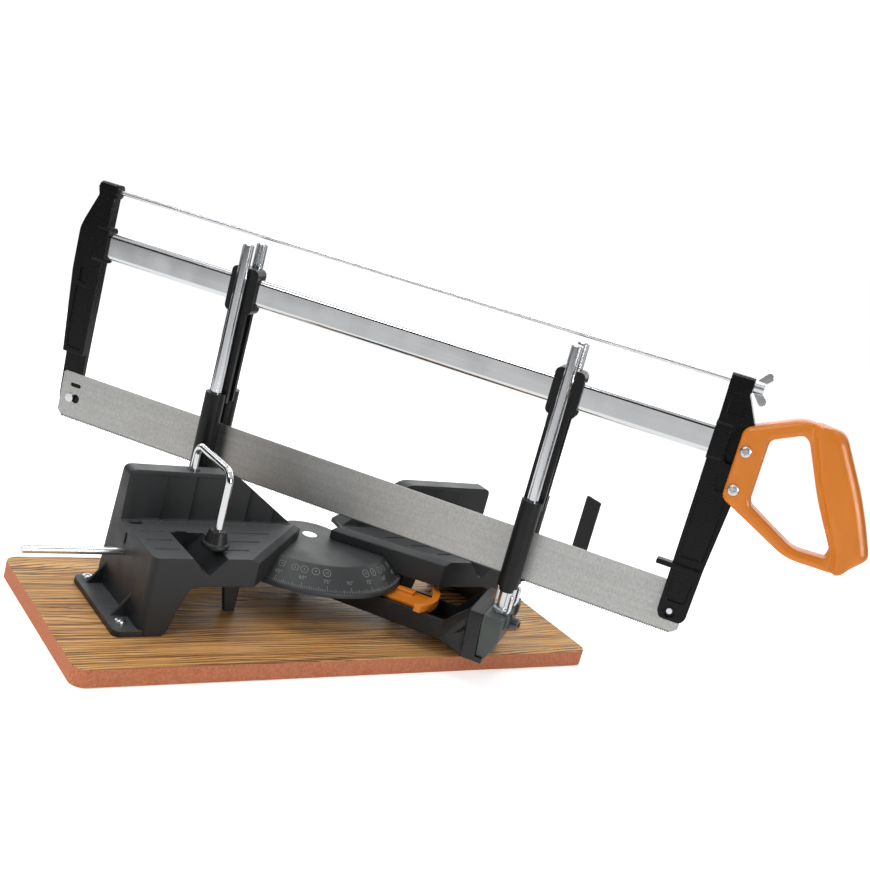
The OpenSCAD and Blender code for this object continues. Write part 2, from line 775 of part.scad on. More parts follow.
// Bracket that holds a pair of rods; X runs outwards from the rods
module post_bracket() {
  low = block_low + 6;
  narrow = block_foot + (block_half - block_foot) * 6 / (bracket_h - board_gap - 6) - 2;
  outer = bracket_d - bracket_in;
  bolt_z = bracket_z - 12;
  difference() {
    union() {
      intersection() {
        along_x(-bracket_in, bracket_d) polygon([
          [-block_half, bracket_z], [-block_half, bracket_z - 6], [-narrow, low], [narrow, low],
          [block_half, bracket_z - 6], [block_half, bracket_z]]);
        along_y(-block_half - 1, block_half + 1) polygon(concat(
          [[-bracket_in, bracket_z], [outer, bracket_z]],
          curve([outer, bracket_z - 14], [outer - 0.5, low + 14], [outer - 9.5, low], 8),
          [[-bracket_in, low]]));
      }
      for (n = [-block_half + 11, block_half - 18]) along_y(n, n + 7) polygon([
        [outer - 3, bracket_z], [outer + 2.5, bracket_z], [outer + 2.5, bracket_z - 9],
        [outer - 3, bracket_z - 17]]);
      translate([outer - 3, 0, bolt_z]) rotate([0, 90, 0]) cylinder(r = bracket_head_r + 2, h = 5);
    }
    for (n = [-rod_n, rod_n]) translate([0, n, bracket_z - 11]) cylinder(r = rod_r, h = 12);
    translate([-bracket_in - 1, 0, bolt_z]) rotate([0, 90, 0]) cylinder(r = 2.9, h = bracket_d + 10);
  }
}

module front_bracket() {
  color(green_grey) on_arm() translate([front_post, 0, 0]) post_bracket();
}

module rear_bracket() {
  color(green_grey) on_arm() translate([-rear_post, 0, 0]) mirror([1, 0, 0]) post_bracket();
}

// Hexagon-socket bolt that holds a bracket to its end block; X runs outwards from the rods
module bracket_bolt() {
  seat = bracket_d - bracket_in + 2;
  translate([-bracket_in - block_t, 0, bracket_z - 12]) rotate([0, 90, 0]) {
    cylinder(r = 2.9, h = seat + bracket_in + block_t);
    translate([0, 0, seat + bracket_in + block_t]) difference() {
      cylinder(r = bracket_head_r, h = 6);
      translate([0, 0, 3]) cylinder(r = 2.6, h = 4, $fn = 6);
    }
  }
}

module bracket_bolts() {
  color("#5a5d60") on_arm() {
    translate([front_post, 0, 0]) bracket_bolt();
    translate([-rear_post, 0, 0]) mirror([1, 0, 0]) bracket_bolt();
  }
}

// Guide rod with a chamfered top, at s along the arm and n across it
module guide_rod(s, n) {
  top = bracket_z + rod_h;
  color(zinc) on_arm() translate([s, n, 0]) rotate_extrude() polygon([
    [0, bracket_z - 11], [rod_r, bracket_z - 11], [rod_r, top - 1], [rod_r - 1, top], [0, top]]);
}

module front_rod_near() guide_rod(front_post, -rod_n);
module front_rod_far() guide_rod(front_post, rod_n);
module rear_rod_near() guide_rod(-rear_post, -rod_n);
module rear_rod_far() guide_rod(-rear_post, rod_n);

// Wing nut round a rod's foot: its two wings stand up outside the sleeve
module rod_nut(s, n) {
  color(zinc) on_arm() translate([s, n, bracket_z + 0.3]) rotate([0, 0, nut_turn]) difference() {
    union() {
      cylinder(r = nut_ring_r, h = nut_ring_h);
      for (side = [0, 1]) mirror([side, 0, 0]) along_y(-nut_wing_t / 2, nut_wing_t / 2) polygon([
        [rod_r + 0.5, 0], [nut_wing_in, 0], [nut_wing_out, 6], [nut_wing_out, nut_wing_h - 4],
        [nut_wing_out - 1, nut_wing_h], [nut_wing_in + 0.5, nut_wing_h], [nut_wing_in, nut_wing_h - 2],
        [nut_wing_in, nut_ring_h], [rod_r + 0.5, nut_ring_h]]);
    }
    translate([0, 0, -1]) cylinder(r = rod_r + run_fit, h = nut_ring_h + 2);
  }
}

module front_nut_near() rod_nut(front_post, -rod_n);
module front_nut_far() rod_nut(front_post, rod_n);
module rear_nut_near() rod_nut(-rear_post, -rod_n);
module rear_nut_far() rod_nut(-rear_post, rod_n);

// Sleeve that slides on one rod, at s along the arm and n across it
module sleeve(s, n) {
  color(black) on_arm() translate([s, n, 0]) difference() {
    union() {
      translate([0, 0, sleeve_low]) cylinder(r = sleeve_r, h = sleeve_l);
      translate([0, 0, sleeve_low - collar_l]) cylinder(r = collar_r, h = collar_l + 1);
    }
    translate([0, 0, sleeve_low - collar_l - 1]) cylinder(r = rod_r + run_fit, h = sleeve_l + collar_l + 2);
  }
}

module front_sleeve_near() sleeve(front_post, -rod_n);
module front_sleeve_far() sleeve(front_post, rod_n);
module rear_sleeve_near() sleeve(-rear_post, -rod_n);
module rear_sleeve_far() sleeve(-rear_post, rod_n);

// Sliding guide between two sleeves: webs with a slot for the blade, two bars and a block round the tube
module guide(s) {
  web_out = rod_n - rod_r - slide_fit;
  bar_in = 4;
  bar_half = web_half + 4;
  slot = blade_t / 2 + slide_fit;
  block_z = tube_z - block_h / 2 - 0.5;
  bridge_z = sleeve_top - 9;
  color(black) on_arm() translate([s, 0, 0]) difference() {
    union() {
      translate([-web_half, -rod_n, sleeve_low]) cube([2 * web_half, rod_gap, sleeve_l]);
      for (side = [0, 1]) mirror([0, side, 0])
        translate([-bar_half, bar_in, bridge_z])
          cube([2 * bar_half, web_out - bar_in, block_z + 6 - bridge_z]);
      along_y(-web_out, web_out) translate([0, block_z + block_h / 2]) round_rect(block_l, block_h, 5);
    }
    for (n = [-rod_n, rod_n]) translate([0, n, sleeve_low - 1]) {
      cylinder(r = sleeve_r, h = sleeve_l + 1);
      cylinder(r = rod_r + slide_fit, h = 3 * sleeve_l);
    }
    translate([-sleeve_r, -slot, sleeve_low - 1])
      cube([2 * sleeve_r, 2 * slot, blade_w + tooth_rise + slide_fit + 1]);
    translate([-sleeve_r, -3.5, blade_top + slide_fit - 1])
      cube([2 * sleeve_r, 7, bridge_z - blade_top - slide_fit + 1]);
    along_x(-block_l, 2 * block_l) translate([0, tube_z])
      round_rect(tube_t + 2 * slide_fit, tube_h + 2 * slide_fit, tube_end_r + slide_fit);
  }
}

module front_guide() guide(front_post);
module rear_guide() guide(-rear_post);

module back_tube() {
  x0 = -toe_reach - socket_d;
  l = toe_reach + heel_reach + 2 * socket_d;
  color("#d7dadd") on_arm() along_x(x0, l) translate([0, tube_z]) difference() {
    round_rect(tube_t, tube_h, tube_end_r);
    round_rect(tube_t - 2 * tube_wall, tube_h - 2 * tube_wall, tube_end_r - tube_wall);
  }
}

// Outline of an end bracket between its inner side at i and its reach w; X runs outwards
module casting_shape(i, w) {
  top = tension_z + lug_h / 2;
  polygon(soften([
    [i - 0.5, top - 1], [lug_l - 1, top - 1], [lug_l - 2, tension_z - lug_h / 2], [w - 3, shoulder_z],
    [w, shoulder_z - 9], [w, waist_z - 8], [w - 6, tongue_top],
    [w - 7.5, pin_z - 3], [w - 11, casting_low], [3, casting_low], [i + 0.5, pin_z - 2], [i + 0.5, waist_z]],
    [2, 2, 1, 2, 4, 6, 4, 4, 4, 4, 2, 0]));
}

// Sunk panels of an end bracket, drawn in (X, Z)
module casting_panels(i, w) {
  polygon(soften([
    [i + 3.5, waist_z - 22], [w - 7, waist_z - 22], [w - 7.5, tongue_top + 26], [w - 9, tongue_top + 5],
    [i + 4, tongue_top + 5]], [2, 2, 4, 3, 3]));
  translate([(i + w) / 2 + 1, waist_z - 11]) round_rect(9, 16, 4);
}

// Part of the heel bracket that the handle's slot takes
module tang_shape() {
  polygon(soften([
    [casting_w - 8, tang_top], [casting_w + tang_l, tang_top - 6], [casting_w + tang_l, tang_low + 6],
    [casting_w - 8, tang_low]], [0, 3, 3, 0]));
}

// Cast end bracket: its foot lies against the blade's near side
module end_casting(is_heel, i, w) {
  half = casting_t / 2;
  panel_depth = 1.8;
  pocket_depth = 5.4;
  face = blade_t / 2;
  difference() {
    union() {
      difference() {
        union() {
          along_y(-half, -face) casting_shape(i, w);
          along_y(-face - 1, half) intersection() {
            casting_shape(i, w);
            translate([-20, tongue_top]) square([casting_w + 40, tension_z]);
          }
        }
        for (n = [-half - 1, half - panel_depth]) along_y(n, n + panel_depth + 1) casting_panels(i, w);
        along_y(-half - 1, -half + panel_depth) polygon(soften([
          [i + 4.5, blade_top + 6], [w - 11, blade_top + 6], [w - 12, pin_z + 9], [i + 4.5, pin_z + 9]],
          [3, 3, 3, 3]));
        if (is_heel) along_y(-half - 1, -half + panel_depth) polygon(soften([
          [4, shoulder_z + 5], [lug_l + 1, shoulder_z + 5], [lug_l - 4, tension_z - lug_h / 2 - 2],
          [4, tension_z - lug_h / 2 - 2]], [2, 2, 2, 2]));
        else along_y(-half - 1, -half + panel_depth) difference() {
          polygon(soften([
            [i + 2.5, shoulder_z + 5], [lug_l - 1.5, shoulder_z + 5], [lug_l - 0.5, shoulder_z + 11],
            [lug_l - 7, tension_z - lug_h / 2 - 1], [i + 2.5, tension_z - lug_h / 2 - 1]], [2, 2, 2, 2, 2]));
          translate([lug_l / 2, shoulder_z + 13.5]) circle(3.2);
        }
        if (is_heel) for (n = [-half - 1, half - pocket_depth]) along_y(n, n + pocket_depth + 1)
          polygon(soften([
            [socket_d + 2, tube_z + 6], [socket_d + 5.5, tube_z + 16], [casting_w - 8, tube_z + 16],
            [casting_w - 8, tube_z - 16], [socket_d + 5.5, tube_z - 16], [socket_d + 2, tube_z - 12]],
            [2, 1, 0, 0, 1, 2]));
      }
      along_x(-1, socket_d + 2.5) translate([0, tube_z]) round_rect(casting_t + 4, tube_h + 8, 4);
      along_x(-1, lug_l) translate([0, tension_z]) round_rect(casting_t, lug_h, 5);
      if (is_heel) {
        translate([-tab_l, -half - 3, tab_z]) cube([casting_w + tab_l - 7, half + 3 - face, 4.5]);
        along_y(-tang_half, tang_half) tang_shape();
      }
    }
    along_x(-2, socket_d + 2) translate([0, tube_z]) round_rect(tube_t, tube_h, tube_end_r);
    along_x(-2, lug_l + 4) translate([0, tension_z]) circle(tension_r);
    translate([pin_q, half + 1, pin_z]) rotate([90, 0, 0]) cylinder(r = pin_r, h = casting_t + 2);
    if (is_heel) {
      translate([pin_q, -half + 2.5, pin_z]) rotate([90, 0, 0]) cylinder(r = 5.5, h = 5);
      at_handle_screws() rotate([90, 0, 0]) cylinder(r = handle_screw_r, h = 60, center = true);
      along_y(-half - 10, -tang_half) handle_outline();
      along_y(tang_half, half + 10) handle_outline();
    }
  }
}

module toe_bracket() {
  color(black) on_arm() translate([-toe_reach, 0, 0]) rotate([0, 0, 180]) end_casting(false, toe_in, toe_w);
}

module heel_bracket() {
  color(black) on_arm() translate([heel_reach, 0, 0]) end_casting(true, heel_in, casting_w);
}

// Blade drawn in (X, Z): a long strip with clipped corners and teeth along its lower edge
module saw_blade() {
  x0 = -toe_reach - blade_over;
  x1 = heel_reach + blade_over;
  clip = 6;
  count = floor((x1 - x0 - 2 * clip) / tooth_pitch);
  toe_pin = -toe_reach - pin_q;
  color("#b9b9b6") on_arm() along_y(-blade_t / 2, blade_t / 2) difference() {
    polygon(concat(
      [[x1, tooth_z + clip], [x1, blade_top - 2], [x1 - 2, blade_top], [x0 + 2, blade_top],
       [x0, blade_top - 2], [x0, tooth_z + clip]],
      [for (i = [0:count - 1]) each [[x0 + clip + i * tooth_pitch, tooth_z],
                                     [x0 + clip + i * tooth_pitch, tooth_z + tooth_d]]],
      [[x1 - clip, tooth_z]]));
    translate([toe_pin, pin_z]) circle(pin_r);
    translate([toe_pin + 5.5, pin_z]) circle(4.3);
    translate([toe_pin + 3.5, pin_z + 12.8]) round_rect(11, 3.8, 1.8);
    translate([heel_reach + pin_q, pin_z]) circle(pin_r);
  }
}

// Headed pins that hang the blade on the two end brackets
module blade_pins() {
  half = casting_t / 2;
  color(zinc) on_arm() {
    translate([-toe_reach - pin_q, 0, pin_z]) rotate([90, 0, 0]) {
      translate([0, 0, -half]) cylinder(r = pin_r, h = half + blade_t / 2);
      translate([0, 0, blade_t / 2]) cylinder(r = pin_r + 1.5, h = 2.5);
    }
    translate([heel_reach + pin_q, 0, pin_z]) rotate([90, 0, 0]) {
      translate([0, 0, -blade_t / 2]) cylinder(r = pin_r, h = half);
      translate([0, 0, -blade_t / 2 - 2]) cylinder(r = pin_r + 1.5, h = 2);
    }
  }
}

module tension_rod() {
  x0 = -toe_reach - lug_l + 1;
  x1 = heel_reach + lug_l + 6.5;
  color(zinc) on_arm() {
    along_x(x0, x1 - x0) translate([0, tension_z]) circle(tension_r);
    along_x(x0 - 2.5, 2.5) translate([0, tension_z]) circle(tension_r + 1.5);
  }
}

// Wing nut that tightens the tension rod against the heel bracket
module tension_wing_nut() {
  seat = heel_reach + lug_l - 1 + 0.3;
  color(zinc) on_arm() translate([seat, 0, tension_z]) difference() {
    union() {
      rotate([0, 90, 0]) cylinder(r = 5.5, h = 8);
      for (side = [0, 1]) mirror([0, 0, side]) along_y(-1.5, 1.5) polygon(soften([
        [1.5, 3.5], [1.5, 6], [8.5, 14.5], [12.5, 12.5], [12.8, 8.5], [7.5, 3.5]], [0, 1.5, 2, 2, 1.5, 0]));
    }
    translate([-1, 0, 0]) rotate([0, 90, 0]) cylinder(r = tension_r + run_fit, h = 20);
  }
}

module at_handle_screws() {
  for (k = [-0.5, 0.5]) translate([screw_q, 0, screw_mid_z + k * screw_gap]) children();
}

// Outer outline of the handle in (X, Z), from the heel bracket's inner side
module handle_outline() {
  edge = casting_w - 11;
  polygon(soften([
    [edge, tang_top + 1.2], [edge + 0.285 * handle_l, handle_top], [0.67 * handle_l, handle_top],
    [0.876 * handle_l, handle_top - 0.45 * handle_h], [handle_l, handle_low + 0.18 * handle_h],
    [0.876 * handle_l, handle_low], [edge + 0.43 * handle_l, handle_low], [edge, tang_low + 0.5]],
    [6, 6, 8, 20, 6, 6, 10, 5]));
}

// Finger opening of the handle
module finger_opening() {
  post = casting_w + tang_l;
  bar = 0.103 * handle_h;
  low = handle_low + 0.088 * handle_h;
  polygon(soften([
    [post + 1.3, tang_top - 2.5], [post + 0.173 * handle_l, handle_top - bar],
    [post + 0.21 * handle_l, handle_top - bar - 3.5],
    [0.845 * handle_l - grip_w, handle_top - 0.502 * handle_h],
    [handle_l - grip_w, handle_low + 0.155 * handle_h],
    [handle_l - grip_w - 1.5, low], [post + 0.31 * handle_l, low - 0.9], [post + 1.3, tang_low + 2.3]],
    [5, 5, 3, 12, 4, 2, 8, 5]));
}

// Handle drawn from the heel bracket's inner side; the grip is thicker than the rest
module handle() {
  half = handle_t / 2;
  thin = half - 2.5;
  color(orange) on_arm() translate([heel_reach, 0, 0]) difference() {
    along_y(-half, half) handle_outline();
    for (n = [-half - 1, thin]) along_y(n, n + half - thin + 1) polygon([
      [0, handle_top + 9], [0.51 * handle_l, handle_top + 9], [0.525 * handle_l, handle_top - 7.6],
      [0.626 * handle_l, handle_top - 0.387 * handle_h], [0.817 * handle_l, handle_low + 0.172 * handle_h],
      [0.86 * handle_l, handle_low - 9],
      [0, handle_low - 9]]);
    along_y(-half - 1, half + 1) finger_opening();
    along_y(-tang_half, tang_half) {
      casting_shape(heel_in, casting_w);
      tang_shape();
    }
    at_handle_screws() rotate([90, 0, 0]) cylinder(r = handle_screw_r, h = 60, center = true);
  }
}

// Cross-head screws through the handle and the heel bracket's tang, with round nuts behind
module handle_screws() {
  thin = handle_t / 2 - 2.5;
  color(zinc) on_arm() translate([heel_reach, 0, 0]) at_handle_screws() {
    translate([0, -thin, 0]) rotate([90, 0, 0]) pan_screw(handle_screw_r, handle_head_r, 3, 2 * thin);
    translate([0, thin, 0]) rotate([-90, 0, 0]) cylinder(r = handle_head_r, h = 2.5);
  }
}

// Bush in the left fence that the clamp rod turns and slides in
module clamp_bush() {
  color(black) translate([-clamp_x, 0, fence_z - bush_l]) difference() {
    cylinder(r = bush_r, h = bush_l);
    translate([0, 0, -1]) cylinder(r = clamp_r + run_fit, h = bush_l + 2);
  }
}

// Bent clamp rod: down into the fence, across to the front, and down to the foot
module clamp_rod() {
  r = clamp_bend_r;
  low = fence_z - clamp_depth;
  foot_top = foot_pad_low + foot_pad_h;
  color(zinc) translate([-clamp_x, 0, 0]) {
    translate([0, 0, low]) cylinder(r = clamp_r, h = clamp_bar_z - r - low);
    translate([0, -clamp_reach + r, clamp_bar_z]) rotate([-90, 0, 0])
      cylinder(r = clamp_r, h = clamp_reach - 2 * r);
    translate([0, -clamp_reach, foot_top - foot_socket])
      cylinder(r = clamp_r, h = clamp_bar_z - r - foot_top + foot_socket);
    for (end = [[-r, 0], [r - clamp_reach, 90]])
      translate([0, end[0], clamp_bar_z - r]) rotate([0, 90, 0]) rotate([0, 0, 90 + end[1]])
        rotate_extrude(angle = 90) translate([r, 0]) circle(clamp_r);
  }
}

module clamp_foot() {
  color("#161616") translate([-clamp_x, -clamp_reach, foot_pad_low]) difference() {
    rotate_extrude() polygon(concat(
      [[0, 0], [foot_pad_r - 2, 0]],
      curve([foot_pad_r - 1.6, 0.2], [foot_pad_r, 0.6], [foot_pad_r, 2.2], 4),
      curve([foot_pad_r, 2.8], [foot_pad_r, 4.6], [foot_pad_r - 1.6, 4.9], 4),
      [[foot_pad_r * 0.81, 5.1], [foot_pad_r * 0.65, foot_pad_h - 1], [foot_pad_r * 0.58, foot_pad_h],
       [0, foot_pad_h]]));
    translate([0, 0, foot_pad_h - foot_socket]) cylinder(r = clamp_r, h = foot_socket + 4);
  }
}

module stop_rod() {
  x0 = -table_end - stop_left;
  l = table_end + stop_right + stop_t + 3 - x0;
  color(zinc) translate([x0, -stop_y, stop_z]) rotate([0, 90, 0]) cylinder(r = stop_r, h = l);
}

module stop_plate() {
  x0 = table_end + stop_right;
  top = table_z + stop_rise;
  color(black) difference() {
    along_x(x0, stop_t) polygon(soften([
      [-stop_y - stop_w / 2, stop_low], [-stop_y + stop_w / 2, stop_low], [-stop_y + stop_w / 2, top],
      [-stop_y - stop_w / 2, top]], [5, 5, 1.5, 1.5]));
    translate([x0 - 1, -stop_y, stop_z]) rotate([0, 90, 0]) cylinder(r = stop_r, h = stop_t + 2);
  }
}

base_board();
left_table();
right_table();
table_screws();
angle_quadrant();
quadrant_screws();
pivot_bolt();
pivot_washer();
pivot_nut();
swing_arm();
index_latch();
front_bracket();
rear_bracket();
bracket_bolts();
front_rod_near();
front_rod_far();
rear_rod_near();
rear_rod_far();
front_nut_near();
front_nut_far();
rear_nut_near();
rear_nut_far();
front_guide();
front_sleeve_near();
front_sleeve_far();
rear_guide();
rear_sleeve_near();
rear_sleeve_far();
back_tube();
toe_bracket();
heel_bracket();
saw_blade();
blade_pins();
tension_rod();
tension_wing_nut();
handle();
handle_screws();
clamp_bush();
clamp_rod();
clamp_foot();
stop_rod();
stop_plate();
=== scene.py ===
import json
import math

import bmesh
import bpy
from mathutils import Matrix, Vector
from mathutils.geometry import intersect_line_line_2d, intersect_point_line


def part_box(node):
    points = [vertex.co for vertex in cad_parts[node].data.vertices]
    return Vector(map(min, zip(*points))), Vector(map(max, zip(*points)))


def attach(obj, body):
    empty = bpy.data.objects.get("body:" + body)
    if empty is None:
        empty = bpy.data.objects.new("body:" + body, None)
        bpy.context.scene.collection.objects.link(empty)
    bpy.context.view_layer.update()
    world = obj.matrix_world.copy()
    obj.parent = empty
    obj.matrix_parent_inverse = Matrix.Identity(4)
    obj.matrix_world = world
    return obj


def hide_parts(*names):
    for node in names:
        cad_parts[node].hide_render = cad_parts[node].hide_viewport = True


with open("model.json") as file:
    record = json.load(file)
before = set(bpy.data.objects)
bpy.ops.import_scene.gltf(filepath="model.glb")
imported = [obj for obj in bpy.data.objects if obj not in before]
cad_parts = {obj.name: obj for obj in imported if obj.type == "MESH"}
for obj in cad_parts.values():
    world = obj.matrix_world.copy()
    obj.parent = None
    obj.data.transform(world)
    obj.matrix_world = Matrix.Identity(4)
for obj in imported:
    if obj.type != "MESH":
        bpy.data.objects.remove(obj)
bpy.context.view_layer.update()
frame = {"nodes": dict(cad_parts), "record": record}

NODES = frame["nodes"]
MM = 0.001
# Distance in metres within which two corners are one
WELD = 2e-6

# Arm frame: B runs along the blade towards the handle, N across it, away from the camera
PHI = math.radians(50.67)
B = Vector((math.cos(PHI), -math.sin(PHI), 0.0))
N = Vector((math.sin(PHI), math.cos(PHI), 0.0))


def arm(s, n, z):
    """Point in metres from millimetres along the blade, across it and up."""
    return (B * s + N * n + Vector((0, 0, z))) * MM


# Materials

def srgb(r, g, b):
    """Linear colour from 0 to 255 display values."""
    def lin(c):
        c /= 255.0
        return c / 12.92 if c <= 0.04045 else ((c + 0.055) / 1.055) ** 2.4
    return (lin(r), lin(g), lin(b), 1.0)


class Nodes:
    """Small helper round a material's node tree."""

    def __init__(self, name):
        self.mat = bpy.data.materials.new(name)
        self.mat.use_nodes = True
        self.tree = self.mat.node_tree
        self.shader = self.tree.nodes["Principled BSDF"]
        self.coord = self.add("ShaderNodeTexCoord").outputs["Object"]

    def add(self, kind, **props):
        node = self.tree.nodes.new(kind)
        for key, value in props.items():
            setattr(node, key, value)
        return node

    def link(self, a, b):
        self.tree.links.new(a, b)

    def set(self, **values):
        for key, value in values.items():
            self.shader.inputs[key.replace("_", " ")].default_value = value

    def mapped(self, scale, turn=0.0):
        """Object coordinates turned about Z, then scaled."""
        first = self.add("ShaderNodeMapping")
        first.inputs["Rotation"].default_value = (0, 0, turn)
        self.link(self.coord, first.inputs["Vector"])
        second = self.add("ShaderNodeMapping")
        second.inputs["Scale"].default_value = scale
        self.link(first.outputs["Vector"], second.inputs["Vector"])
        return second.outputs["Vector"]

    def noise(self, scale, detail=4.0, rough=0.55, vector=None, distort=0.0):
        node = self.add("ShaderNodeTexNoise")
        node.inputs["Scale"].default_value = scale
        node.inputs["Detail"].default_value = detail
        node.inputs["Roughness"].default_value = rough
        node.inputs["Distortion"].default_value = distort
        self.link(vector or self.coord, node.inputs["Vector"])
        return node.outputs["Fac"]

    def ramp(self, fac, *stops):
        node = self.add("ShaderNodeValToRGB")
        points = node.color_ramp.elements
        while len(points) < len(stops):
            points.new(0.5)
        for point, (place, colour) in zip(points, stops):
            point.position = place
            point.color = colour
        self.link(fac, node.inputs["Fac"])
        return node.outputs["Color"]

    def grey(self, fac, low, high, start=0.3, end=0.7):
        """Maps a noise value to a number between low and high."""
        node = self.add("ShaderNodeMapRange")
        node.inputs["From Min"].default_value = start
        node.inputs["From Max"].default_value = end
        node.inputs["To Min"].default_value = low
        node.inputs["To Max"].default_value = high
        self.link(fac, node.inputs["Value"])
        return node.outputs["Result"]

    def mix(self, fac, a, b):
        """Mixes two colours. Inputs 0, 6 and 7 are the factor and the colours, and output 2 the result."""
        node = self.add("ShaderNodeMix", data_type="RGBA")
        for socket, value in ((node.inputs[0], fac), (node.inputs[6], a), (node.inputs[7], b)):
            if isinstance(value, (int, float, tuple)):
                socket.default_value = value
            else:
                self.link(value, socket)
        return node.outputs[2]

    def math(self, kind, a, b=0.0):
        node = self.add("ShaderNodeMath", operation=kind)
        for socket, value in zip(node.inputs, (a, b)):
            if isinstance(value, (int, float)):
                socket.default_value = value
            else:
                self.link(value, socket)
        return node.outputs[0]

    def axis(self, name):
        """One object coordinate, in metres."""
        node = self.add("ShaderNodeSeparateXYZ")
        self.link(self.coord, node.inputs["Vector"])
        return node.outputs[name]

    def bump(self, height, strength, distance):
        node = self.add("ShaderNodeBump")
        node.inputs["Strength"].default_value = strength
        node.inputs["Distance"].default_value = distance
        self.link(height, node.inputs["Height"])
        self.link(node.outputs["Normal"], self.shader.inputs["Normal"])

    def colour(self, socket):
        self.link(socket, self.shader.inputs["Base Color"])

    def roughness(self, socket):
        self.link(socket, self.shader.inputs["Roughness"])


# Noise scales and depth that the plastics share
DRIFT_SCALE = 18.0
GLOSS_SCALE = 45.0
GRAIN_SCALE = 900.0
GRAIN_DEPTH = 0.0004


def scaled(colour, k):
    return tuple(min(1.0, c * k) for c in colour[:3]) + (1.0,)


def moulded(name, colour, rough, grain=GRAIN_SCALE, bump=0.12, vary=0.1, coat=0.0, gloss=0.4):
    """Moulded plastic or rubber: fine grain, slow colour drift and uneven gloss."""
    m = Nodes(name)
    drift = m.noise(DRIFT_SCALE, 3.0)
    fine = m.noise(grain, 3.0, 0.6)
    m.colour(m.ramp(drift, (0.3, scaled(colour, 1 - vary)), (0.7, scaled(colour, 1 + vary))))
    m.roughness(m.grey(m.noise(GLOSS_SCALE, 4.0), rough - 0.06, rough + 0.08))
    m.bump(fine, bump, GRAIN_DEPTH)
    m.set(Coat_Weight=coat, Coat_Roughness=0.25, Specular_IOR_Level=gloss)
    return m.mat


def table_plastic(name, colour, top):
    """Moulded table plastic with painted light: the faces that look up are painted paler, as if lit from
    above, with streaks in that painted light.
    """
    m = Nodes(name)
    split = m.add("ShaderNodeSeparateXYZ")
    m.link(m.add("ShaderNodeNewGeometry").outputs["Normal"], split.inputs["Vector"])
    drift = m.noise(DRIFT_SCALE, 3.0)
    top_light_streaks = m.noise(1.0, 4.0, 0.6, m.mapped((60.0, 700.0, 700.0)))
    side = m.ramp(drift, (0.3, scaled(colour, 0.9)), (0.7, scaled(colour, 1.1)))
    # Painted light: the top colour, paler than the sides, paints light falling on the faces that look up;
    # the streaks vary that painted light
    upper = m.mix(m.grey(top_light_streaks, 0.0, 1.0), scaled(top, 0.8), scaled(top, 1.2))
    m.colour(m.mix(m.grey(split.outputs["Z"], 0.0, 1.0, 0.85, 0.98), side, upper))
    m.roughness(m.grey(m.noise(GLOSS_SCALE, 4.0), 0.36, 0.5))
    m.bump(m.noise(GRAIN_SCALE, 3.0, 0.6), 0.12, GRAIN_DEPTH)
    m.set(Specular_IOR_Level=0.4)
    return m.mat


def metal(name, colour, rough, turn=0.0, scale=(6.0, 900.0, 900.0), bump=0.05, vary=0.08):
    """Drawn, ground or plated metal: fine lines along one direction."""
    m = Nodes(name)
    lines = m.noise(1.0, 5.0, 0.65, m.mapped(scale, turn))
    cloud = m.noise(30.0, 3.0)
    m.colour(m.mix(m.grey(lines, 0.0, 1.0), scaled(colour, 1 - vary), scaled(colour, 1 + vary)))
    m.roughness(m.grey(cloud, rough - 0.04, rough + 0.07))
    m.bump(lines, bump, 0.0002)
    m.set(Metallic=1.0)
    return m.mat


def painted(name, colour, rough, grain, bump, vary=0.15, gloss=0.3):
    """Painted casting with an orange-peel or sand texture."""
    m = Nodes(name)
    sand = m.noise(grain, 4.0, 0.62)
    m.colour(m.ramp(m.noise(25.0, 3.0), (0.3, scaled(colour, 1 - vary)), (0.7, scaled(colour, 1 + vary))))
    m.roughness(m.grey(sand, rough - 0.07, rough + 0.1))
    m.bump(sand, bump, 0.0006)
    m.set(Specular_IOR_Level=gloss)
    return m.mat


def sanded(name, colour):
    """Thick black powder coat: coarse grains in the bump, and the palest spots painted paler as painted
    glints of the grains catching the light.
    """
    m = Nodes(name)
    grains = m.add("ShaderNodeTexVoronoi", feature="F1")
    grains.inputs["Scale"].default_value = 750.0
    m.link(m.coord, grains.inputs["Vector"])
    spots_and_glints = m.noise(420.0, 3.0, 0.7)
    # Painted highlight: the stop at 2.4 times the colour paints glints of the grains, not a colour of the
    # coat
    m.colour(m.ramp(spots_and_glints, (0.35, scaled(colour, 0.7)), (0.6, colour), (0.78, scaled(colour, 2.4))))
    m.roughness(m.grey(spots_and_glints, 0.3, 0.55))
    m.bump(grains.outputs["Distance"], 0.55, 0.0007)
    m.set(Specular_IOR_Level=0.4)
    return m.mat


def ground_blade(name):
    """Ground spring steel: fine cross grind, slow clouds and a blued tooth line."""
    m = Nodes(name)
    grind = m.noise(1.0, 4.0, 0.7, m.mapped((1300.0, 700.0, 480.0), PHI))
    draw = m.noise(1.0, 4.0, 0.6, m.mapped((9.0, 600.0, 240.0), PHI))
    cloud = m.noise(14.0, 3.0)
    steel = m.mix(m.grey(draw, 0.0, 1.0), srgb(206, 206, 204), srgb(220, 220, 217))
    fine = m.mix(m.grey(grind, 0.0, 0.6), steel, srgb(150, 150, 148))
    blued_z, bright_z = (TOOTH_Z + 1.2) * MM, (TOOTH_Z + 2.6) * MM
    edge = m.grey(m.axis("Z"), 0.9, 0.0, blued_z, bright_z)
    m.colour(m.mix(edge, fine, srgb(58, 58, 60)))
    m.roughness(m.grey(cloud, 0.4, 0.5))
    m.bump(grind, 0.12, 0.0002)
    m.set(Metallic=1.0)
    return m.mat


